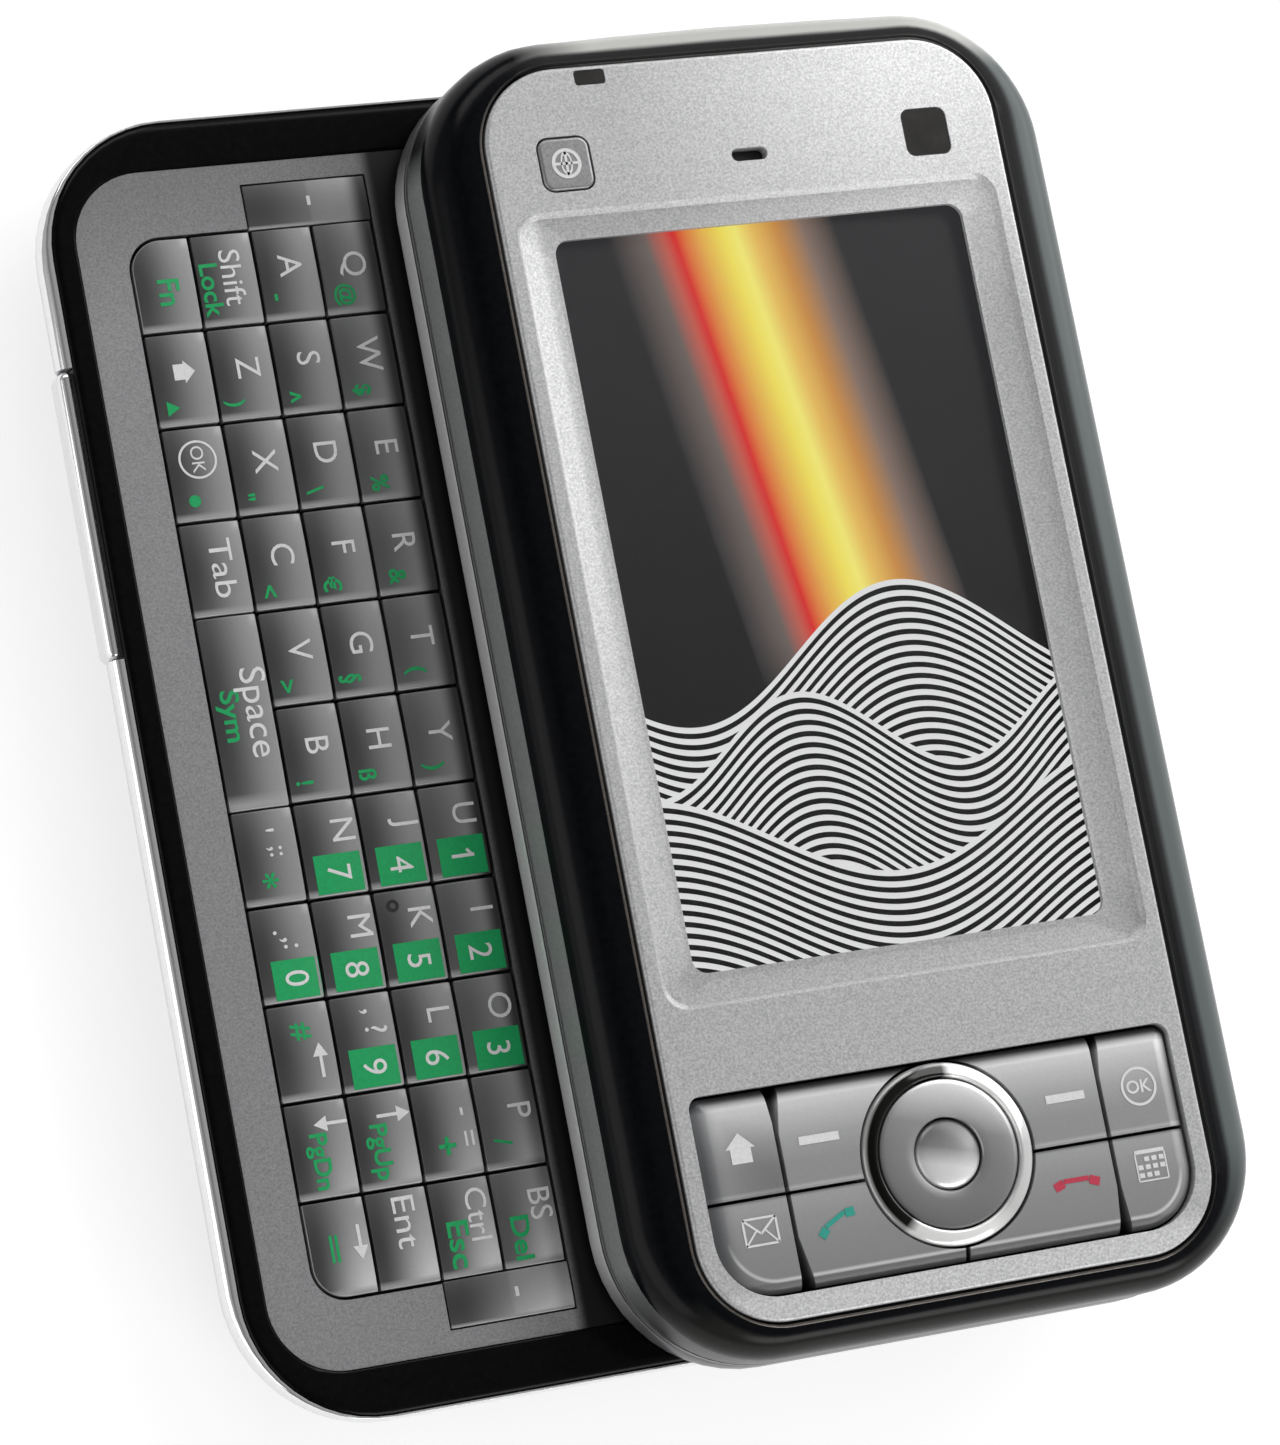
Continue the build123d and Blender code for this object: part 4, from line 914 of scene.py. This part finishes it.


# The paint carries painted light and shade: painted highlights at the upper right, on the lower end
# and down the left slope of the sunken field, and painted shade on its lower slope.
silver_paint = grained("silver_paint", (0.36, 0.36, 0.365), (0.62, 0.62, 0.625), 4500, 3.0,
                       0.35, 0.45)
silver = Nodes(silver_paint.node_tree)
silver_x, silver_y, silver_z = silver.place()
silver_bright = silver.step("MULTIPLY", silver.span(silver_y, 30, 54),
                            silver.span(silver_x, display_x - 12, display_x + 14))
silver_low = silver.step("MULTIPLY", silver.span(silver_y, -22.5, -26.2),
                         silver.span(silver_z, 21.32, 21.06))
silver_end = silver.span(silver_y, -53.0, -54.5)
silver_slope = silver.step(
    "MULTIPLY", silver.span(silver_x, display_x - 20.9, display_x - 21.6),
    silver.step("MULTIPLY", silver.span(silver_z, 21.42, 21.34), silver.span(silver_y, -20, 20)))
silver_level = 0.91
for share, change in ((silver_bright, 0.62), (silver_slope, 0.36), (silver_low, -0.14),
                      (silver_end, 0.30)):
    silver_level = silver.step("ADD", silver.step("MULTIPLY", share, change), silver_level)
silver.overpaint(1.0, silver_level, "MULTIPLY")
plate = loft("front_plate", [(49.8, 113.0, 7.5, 20.2), (49.8, 113.0, 7.5, 21.15)]
             + bow((49.8, 113.0, 7.5, 21.15), (49.1, 112.3, 7.15, 21.5), 5), x=display_x, steps=16)
sunken = loft("sunken_field", [(40.8, 67.3, 1.8, 20.7), (46.0, 71.0, 2.0, 21.05),
                               (46.6, 71.6, 2.1, 21.35), (47.3, 72.3, 2.4, 21.6)],
              x=display_x, y=7.35, steps=8)
key_field = combine(
    prism("field_lower", (46.5, 30, 5.5), (19, 22), display_x, -39.3, steps=12),
    prism("field_upper", (46.5, 30, 1.2), (19, 22), display_x, -51.2), operation="INTERSECT")
combine(plate, sunken,
        prism("window_opening", (40, 66.5, 1.4), (19, 22), display_x, window_y), key_field,
        prism("web_key_opening", (5.1, 5.1, 1.15), (19, 22), display_x - side_x, side_y),
        prism("camera_seat", (4.5, 4.5, 0.85), (20.7, 22), display_x + side_x, side_y),
        prism("camera_sight", (3.2, 3.2, 1.6), (19, 21), display_x + side_x, side_y),
        prism("earpiece_slot", (3.5, 1.2, 0.58), (19, 22), display_x, 47.0),
        prism("indicator_seat", (2.95, 1.4, 0.3), (19, 22), pipe_x, pipe_y, steps=4))
round_edges(plate, 0.08, 2, 40)
finish(plate, silver_paint, "bezel_silver", "display_half", "front_bezel", angle=28)

# ---------------------------------------------------------------- screen
# The picture of the display and the clear touch glass bonded over it, which is larger
# than the window and lies behind the plate. The picture is a glow over printed dunes.
# A dune is where a point lies below a wave, and is lined by its depth below that wave.
dune_nodes, dune_inputs = new_group(
    "lined_dune",
    [(name, "Float") for name in ("X", "Y", "Base", "Swell", "Rate", "Phase", "Pitch")],
    [("Inside", "Float"), ("Line", "Float")])
dune_wave = dune_nodes.step("SINE", dune_nodes.step("MULTIPLY_ADD", dune_inputs["X"],
                                                    dune_inputs["Rate"], dune_inputs["Phase"]))
dune_top = dune_nodes.step("MULTIPLY_ADD", dune_wave, dune_inputs["Swell"], dune_inputs["Base"])
dune_depth = dune_nodes.step("SUBTRACT", dune_top, dune_inputs["Y"])
dune_part = dune_nodes.step("FRACT", dune_nodes.step("DIVIDE", dune_depth, dune_inputs["Pitch"]))
dune_nodes.add("NodeGroupOutput", {
    "Inside": dune_nodes.step("GREATER_THAN", dune_depth, 0.0),
    "Line": dune_nodes.step("LESS_THAN", dune_part, 0.52)})

screen_dark = (0.030, 0.030, 0.032)
screen_print, screen = new_material("screen_picture", {
    "Base Color": (0.0, 0.0, 0.0, 1), "Roughness": 0.4, "Specular IOR Level": 0.2,
    "Emission Strength": 0.9})
screen_x, screen_y, _ = screen.place()
screen_x = screen.step("MULTIPLY_ADD", screen_x, 1000.0, -display_x)
screen_y = screen.step("MULTIPLY_ADD", screen_y, 1000.0, -window_y)
screen_colour = screen.mix(screen.ramp(screen_y, -34.0, 34.0), 0.004, screen_dark)
# The glow leans a little across the picture: its place across, in millimetres.
glow_across = screen.step("MULTIPLY_ADD", screen_y, 0.16, screen_x)
glow_share = screen.ramp(glow_across, -9.0, 13.0)
glow = screen.shades(glow_share, [
    (0.00, screen_dark), (0.16, (0.16, 0.13, 0.12)), (0.24, (0.55, 0.12, 0.09)),
    (0.29, (0.72, 0.03, 0.03)), (0.38, (0.80, 0.36, 0.08)), (0.50, (0.92, 0.78, 0.12)),
    (0.56, (0.95, 0.86, 0.20)), (0.64, (0.84, 0.52, 0.12)), (0.74, (0.62, 0.28, 0.07)),
    (0.86, (0.24, 0.17, 0.14)), (1.00, screen_dark)])
glow_end = screen.ramp(screen_y, -14.0, -4.0, smooth=True)
inside_glow = screen.step("MULTIPLY", screen.step("GREATER_THAN", glow_share, 0.001),
                          screen.step("LESS_THAN", glow_share, 0.999))
screen_colour = screen.mix(screen.step("MULTIPLY", inside_glow, glow_end), screen_colour, glow)
for base, swell, rate, phase in ((-6.0, 5.5, 0.15, 0.6), (-13.5, 4.0, 0.21, 2.6),
                                 (-22.0, 4.6, 0.13, 4.4)):
    dune = screen.add("ShaderNodeGroup", {
        "X": screen_x, "Y": screen_y, "Base": base, "Swell": swell, "Rate": rate, "Phase": phase,
        "Pitch": 1.02}, node_tree=dune_nodes.tree).outputs
    lined = screen.mix(dune["Line"], 0.008, 0.80)
    screen_colour = screen.mix(dune["Inside"], screen_colour, lined)
screen.surface({"Emission Color": screen_colour})
module_low, module_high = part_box("lcd_module")
module_width = 1000 * (module_high.x - module_low.x)
module_length = 1000 * (module_high.y - module_low.y)
picture = prism("screen_module", (module_width, module_length, 0.6),
                (1000 * module_low.z, 1000 * module_high.z), display_x,
                500 * (module_high.y + module_low.y), steps=4)
round_edges(picture, 0.1, 2)
for face in picture.data.polygons:
    face.material_index = 1 if face.normal.z > 0.99 else 0
finish(picture, [module_black, screen_print], "screen_module", "display_half", "lcd_module")

glass_clear = grained("touch_glass", (0.96, 0.97, 0.97), 1.0, 300, 1.0, 0.0, 0.03,
                      extra={"Transmission Weight": 1.0, "IOR": 1.2})
pane = prism("touch_pane", (43.4, 69.9, 3.1), (19.1, 20.15), display_x, window_y)
round_edges(pane, 0.08, 2)
finish(pane, glass_clear, "screen_glass", "display_half", "touch_window")

# ---------------------------------------------------------------- front keys
# Eight caps in grey metallic paint, moulded as one block with rolled edges and then
# parted, round the navigation ring. Each carries a white or coloured sign.


def front_finish(name, stops):
    """Metallic paint with painted light and shade down the cap, painted shade on the rolled left
    edge of the block and a painted highlight line where the roll of the lower caps begins."""
    material, paint = new_material(name, {"Metallic": 0.3, "Roughness": 0.36})
    across, along, height = paint.place()
    down = paint.shades(paint.place("cap_map")[1],
                        [(place, (level, level, 1.01 * level)) for place, level in stops])
    left_roll_shade = paint.step("MULTIPLY", paint.span(across, 12.8, 10.4, smooth=True), 0.72)
    colour = paint.mix(left_roll_shade, speckled(paint, down, 0.9), (0.075, 0.080, 0.088))
    line = paint.step("MULTIPLY", paint.span(height, 21.26, 21.30),
                      paint.span(height, 21.345, 21.32))
    line = paint.step("MULTIPLY", paint.span(along, -49.0, -51.2), line)
    paint.surface({"Base Color": paint.mix(line, colour, 0.62)})
    return material


# The stops down each row are painted light and shade, with a painted shadow of the opening's upper
# edge at the top of the upper caps.
upper_paint = front_finish("upper_cap_paint", [
    (0.00, 0.34), (0.03, 0.46), (0.06, 0.31), (0.27, 0.32), (0.49, 0.40), (0.60, 0.48),
    (0.74, 0.59), (0.80, 0.66), (0.86, 0.70), (0.90, 0.34), (0.94, 0.06), (1.00, 0.01)])
lower_paint = front_finish("lower_cap_paint", [
    (0.00, 0.05), (0.05, 0.12), (0.11, 0.17), (0.14, 0.26), (0.24, 0.27), (0.50, 0.29),
    (0.75, 0.33), (0.90, 0.37), (0.97, 0.38), (1.00, 0.15)])
rolled_edge = [(0, 18.3), (0, 20.72), (0.25, 20.98), (0.55, 21.14), (0.85, 21.25), (1.15, 21.32),
               (1.4, 21.35)]


def rolled_block(name, corner, y, steps):
    """The block of all the caps, its upper edge rolled over, with one size of corner."""
    return loft(name, [(46.05 - 2 * inset, 25.65 - 2 * inset, max(corner - inset, 0.12), level)
                       for inset, level in rolled_edge], x=display_x, y=y, steps=steps)


def wedge(gap_x, near_y, far_y, spread):
    """A cutter as thin as a slip of paper at one end, which reaches sideways at the other."""
    low_y, high_y = sorted((near_y, far_y))
    tool = box("wedge", (gap_x - 0.1, low_y, 17), (gap_x + 0.1, high_y, 23))
    bpy.ops.object.mode_set(mode="EDIT")
    mesh = bmesh.from_edit_mesh(tool.data)
    mesh.verts.index_update()
    select_vertices([vertex.index for vertex in mesh.verts
                     if abs(vertex.co.y - far_y) < 0.01 and (vertex.co.x - gap_x) * spread > 0])
    bpy.ops.transform.translate(value=(spread, 0, 0))
    bpy.ops.object.mode_set(mode="OBJECT")
    return tool


ring_y = -44.6
key_block = combine(rolled_block("key_block", 5.3, -41.25, 14),
                    rolled_block("key_block_top", 1.0, -49.25, 6), operation="INTERSECT")
ring_opening = added("ring_opening", bpy.ops.mesh.primitive_cylinder_add, vertices=96,
                     radius=8.35, depth=8, location=(display_x, ring_y, 20))
# Each cap is cut from the block between its columns and rows. Its paint runs over the
# visible part of its length, and the gaps widen towards the outer edges of the block.
cap_spans = ((-23.1, -15.825), (-15.375, -0.125), (0.325, 15.375), (15.825, 23.1))
cap_rows = (
    (("start_key", "left_soft_key", "right_soft_key", "ok_key"), (-45.5, -36.4),
     (-45.5, -36.425), upper_paint),
    (("mail_key", "call_key", "end_key", "calendar_key"), (-54.1, -45.8), (-54.075, -45.8),
     lower_paint))
wedges = {
    "left_soft_key": (-15.475, -40.5, -36.0, 0.75), "start_key": (-15.725, -39.5, -36.0, -0.35),
    "call_key": (-15.475, -49.5, -54.4, 0.95), "ok_key": (15.725, -40.0, -36.0, 0.6),
    "calendar_key": (15.725, -50.0, -54.4, 0.4), "end_key": (15.475, -50.0, -54.4, -0.5)}
front_caps = {}
for names, (low, high), (painted_low, painted_high), paint in cap_rows:
    for name, (left, right) in zip(names, cap_spans):
        cap = combine(copy_of(key_block), box("span", (display_x + left, low, 17),
                                              (display_x + right, high, 23)),
                      operation="INTERSECT")
        combine(cap, copy_of(ring_opening))
        if name in wedges:
            gap_x, *reach = wedges[name]
            combine(cap, wedge(display_x + gap_x, *reach))
        round_edges(cap, 0.2, 3, 50)
        map_face(cap, display_x + left, painted_low, right - left, painted_high - painted_low)
        front_caps[name] = cap, paint
bpy.data.objects.remove(key_block)
bpy.data.objects.remove(ring_opening)

call_ink = ink_finish("call_ink", (0.01, 0.26, 0.20), (0.02, 0.33, 0.26))
end_ink = ink_finish("end_ink", (0.42, 0.02, 0.05), (0.52, 0.03, 0.07))


def handset(x, y, length, turn):
    """A telephone receiver seen from the side, its two ends turned down."""
    half = length / 2
    return sign_of([stroke((-half * 0.56, 0.36), (half * 0.56, 0.36), 0.42),
                    stroke((-half, -0.12), (-half * 0.58, 0.22), 0.78),
                    stroke((half * 0.58, 0.22), (half, -0.12), 0.78)], x, y, turn)


def envelope(x, y, width, height):
    """The outline of a letter with its flap."""
    left, right, low, high = x - width / 2, x + width / 2, y - height / 2, y + height / 2
    corners = [(left, low), (right, low), (right, high), (left, high), (left, low)]
    lines = [stroke(a, b, 0.2) for a, b in zip(corners, corners[1:])]
    lines += [stroke((left, high), (x, y - 0.2), 0.2), stroke((x, y - 0.2), (right, high), 0.2)]
    return lines + [stroke((left, low), (x - 0.45, y + 0.05), 0.16),
                    stroke((right, low), (x + 0.45, y + 0.05), 0.16)]


def week_table(x, y, width, height):
    """Rows of small squares under a heading bar."""
    left, right, low, high = x - width / 2, x + width / 2, y - height / 2 - 0.2, y + height / 2
    lines = [stroke((left, high), (right, high), 0.35), stroke((left, low), (right, low), 0.14)]
    lines += [stroke((end, low), (end, high - 0.2), 0.14) for end in (left, right)]
    for row in range(3):
        for column in range(4):
            if (row, column) not in ((0, 0), (2, 3)):
                place = left + (column + 0.5) * width / 4
                level = high - (row + 0.95) * height / 3.4
                lines.append(stroke((place - 0.24, level), (place + 0.24, level), 0.42))
    return lines


sign_y = -41.4
front_signs = {
    "start_key": ([house(display_x - 19.2, -41.2, 2.7, turn=0)], white_ink),
    "left_soft_key": ([stroke((display_x - 13.7, sign_y), (display_x - 9.9, sign_y), 0.75)],
                      white_ink),
    "right_soft_key": ([stroke((display_x + 10.2, sign_y), (display_x + 14.0, sign_y), 0.75)],
                       white_ink),
    "ok_key": ([circle_line(display_x + 19.4, -41.5, 1.75, 0.24),
                lettering("OK", display_x + 19.4, -41.5, 1.1, turn=0, weight=0.03)], white_ink),
    "mail_key": (envelope(display_x - 18.75, -48.5, 3.1, 2.3), white_ink),
    "call_key": ([handset(display_x - 11.6, -48.9, 3.9, 28)], call_ink),
    "end_key": ([handset(display_x + 11.6, -49.1, 4.4, 0)], end_ink),
    "calendar_key": (week_table(display_x + 19.1, -48.5, 2.9, 2.4), white_ink),
}
for name, (cap, paint) in front_caps.items():
    marks, ink = front_signs[name]
    finish(print_on(f"{name}_sign", marks, cap, 0.015, 0.03), ink, "front_key_grey", name)
    cap.name = f"{name}_cap"
    finish(cap, paint, "front_key_grey", name, name, angle=30)

# ---------------------------------------------------------------- navigation ring and buttons
# A turned and chromed ring fixed to the housing, a grey disk that rocks inside it and
# a domed button in the middle of the disk.


def turned(name, profile, steps=96):
    """A body turned about the ring's axis from its (radius, level) profile."""
    piece = added(name, bpy.ops.mesh.primitive_plane_add, size=1)
    bpy.ops.object.mode_set(mode="EDIT")
    bpy.ops.mesh.merge(type="CENTER")
    bpy.ops.transform.translate(value=(profile[0][0], 0, profile[0][1]))
    for (radius, level), (next_radius, next_level) in zip(profile, profile[1:]):
        bpy.ops.mesh.extrude_region_move(TRANSFORM_OT_translate={
            "value": (next_radius - radius, 0, next_level - level)})
    bpy.ops.mesh.select_all(action="SELECT")
    bpy.ops.mesh.spin(steps=steps, angle=2 * pi, center=(0, 0, 0), axis=(0, 0, 1))
    bpy.ops.mesh.select_all(action="SELECT")
    bpy.ops.mesh.remove_doubles(threshold=0.0005)
    bpy.ops.mesh.normals_make_consistent(inside=False)
    bpy.ops.transform.translate(value=(display_x, ring_y, 0))
    bpy.ops.object.mode_set(mode="OBJECT")
    return piece


# The chrome carries a painted reflection of a dark room on the left and a pale one on the right,
# except on its outer edge.
chrome = grained("bright_chrome", (0.88, 0.88, 0.87), (0.94, 0.94, 0.93), 900, 1.5, 0.2, 0.10)
ring = Nodes(chrome.node_tree)
ring_across, ring_along, _ = ring.place()
ring_across = ring.step("SUBTRACT", ring_across, display_x / 1000)
ring_along = ring.step("SUBTRACT", ring_along, ring_y / 1000)
ring_reach = ring.step("SQRT", ring.step("ADD", ring.step("MULTIPLY", ring_across, ring_across),
                                         ring.step("MULTIPLY", ring_along, ring_along)))
ring_toward = ring.step("DIVIDE", ring.step("ADD", ring.step("MULTIPLY", ring_across, -0.906),
                                            ring.step("MULTIPLY", ring_along, 0.423)), ring_reach)
ring_edge = ring.span(ring_reach, 7.65, 7.90)
ring_dark_reflection = ring.step("SUBTRACT", ring.ramp(ring_toward, 0.18, 0.32),
                      ring.step("MULTIPLY", ring_edge, 0.45), clamped=True)
ring.overpaint(ring.step("MULTIPLY", ring.ramp(ring_toward, -0.72, -0.92), 0.6), 0.34)
ring.overpaint(ring_dark_reflection, (0.006, 0.006, 0.005))
ring_profile = [(6.75, 18.0), (8.1, 18.0), (8.1, 21.0), (8.07, 21.2), (8.0, 21.33), (7.88, 21.42),
                (7.5, 21.58), (7.2, 21.69), (7.08, 21.73), (6.98, 21.74), (6.88, 21.71),
                (6.8, 21.64), (6.76, 21.54), (6.75, 21.35), (6.75, 18.0)]
finish(turned("navigation_ring", ring_profile), chrome, "select_chrome", "display_half",
       "navigation_trim_ring")


def dished_paint(name, lean_x, lean_y, reach, stops):
    """Metallic paint with painted light and shade across a round piece in one direction, over a
    reach in millimetres to either side of its middle."""
    material, paint = new_material(name, {"Metallic": 0.4, "Roughness": 0.30})
    across, along, _ = paint.place()
    across = paint.step("MULTIPLY", paint.step("SUBTRACT", across, display_x / 1000), lean_x)
    along = paint.step("MULTIPLY", paint.step("SUBTRACT", along, ring_y / 1000), lean_y)
    shade = paint.shades(paint.span(paint.step("ADD", across, along), -reach, reach), stops)
    paint.surface({"Base Color": speckled(paint, shade, 0.9)})
    return material


disk_paint = dished_paint("disk_paint", 0.30, 0.954, 6.3,
                          [(0.0, 0.20), (0.5, 0.27), (0.68, 0.33), (0.86, 0.66), (1.0, 0.90)])
disk_profile = [(3.25, 19.85), (6.6, 19.85), (6.6, 21.35), (6.52, 21.48), (6.35, 21.56),
                (6.1, 21.59), (5.2, 21.60), (4.2, 21.58), (3.55, 21.54), (3.36, 21.48),
                (3.25, 21.35), (3.25, 19.85)]
finish(turned("navigation_disk", disk_profile), disk_paint, "front_key_grey",
       "navigation_rocker", "navigation_rocker")
select_paint = dished_paint("select_paint", -0.26, -0.966, 2.8,
                            [(0.0, 0.09), (0.42, 0.30), (0.70, 0.90), (1.0, 1.0)])
select_profile = [(0, 18.3), (3.1, 18.3), (3.1, 20.95), (3.04, 21.15), (2.9, 21.32), (2.6, 21.47),
                  (2.1, 21.61), (1.5, 21.71), (0.8, 21.78), (0, 21.8)]
finish(turned("select_cap", select_profile, steps=72), select_paint, "select_chrome",
       "select_button", "select_button")

# ---------------------------------------------------------------- small parts above the screen
# The web key with its globe, the dark pane over the front camera, the light pipe of
# the indicator and the earpiece behind its slot.
web_paint = grained("web_cap_paint", (0.21, 0.21, 0.215), (0.34, 0.34, 0.345), 4500, 2.5, 0.5, 0.36)
web_x = display_x - side_x
web_cap = loft("web_cap", [(4.8, 4.8, 1.0, 18.75), (4.8, 4.8, 1.0, 21.4), (4.7, 4.7, 0.95, 21.53),
                           (4.5, 4.5, 0.85, 21.61), (4.2, 4.2, 0.7, 21.65)],
               x=web_x, y=side_y, steps=8)
globe = [circle_line(web_x, side_y, 1.4, 0.32), circle_line(web_x, side_y, 1.1, 0.28, squeeze=0.5),
         stroke((web_x - 1.08, side_y), (web_x + 1.08, side_y), 0.26),
         stroke((web_x, side_y - 1.08), (web_x, side_y + 1.08), 0.24)]
finish(print_on("web_sign", globe, web_cap, 0.015, 0.03), white_ink, "front_key_grey", "web_key")
finish(web_cap, web_paint, "front_key_grey", "web_key", "web_key")
dark_pane = grained("dark_pane", (0.012, 0.012, 0.011), (0.030, 0.028, 0.026), 400, 2.0, 0.0, 0.12,
                    extra={"Coat Weight": 0.6, "Coat Roughness": 0.05})
camera_pane = loft("front_camera_pane", [(4.4, 4.4, 0.8, 20.7), (4.4, 4.4, 0.8, 21.34),
                                         (4.28, 4.28, 0.74, 21.4)],
                   x=display_x + side_x, y=side_y, steps=8)
finish(camera_pane, dark_pane, "pane_dark", "display_half", "front_camera_window")
light_pipe = loft("indicator_pipe", [(2.85, 1.3, 0.28, 20.2), (2.85, 1.3, 0.28, 21.4),
                                     (2.75, 1.2, 0.23, 21.45)], x=pipe_x, y=pipe_y, steps=4)
finish(light_pipe, dark_pane, "light_pipe", "display_half", "indicator_light")
dress(dark_pane, "rear_camera_window")

low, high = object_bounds()
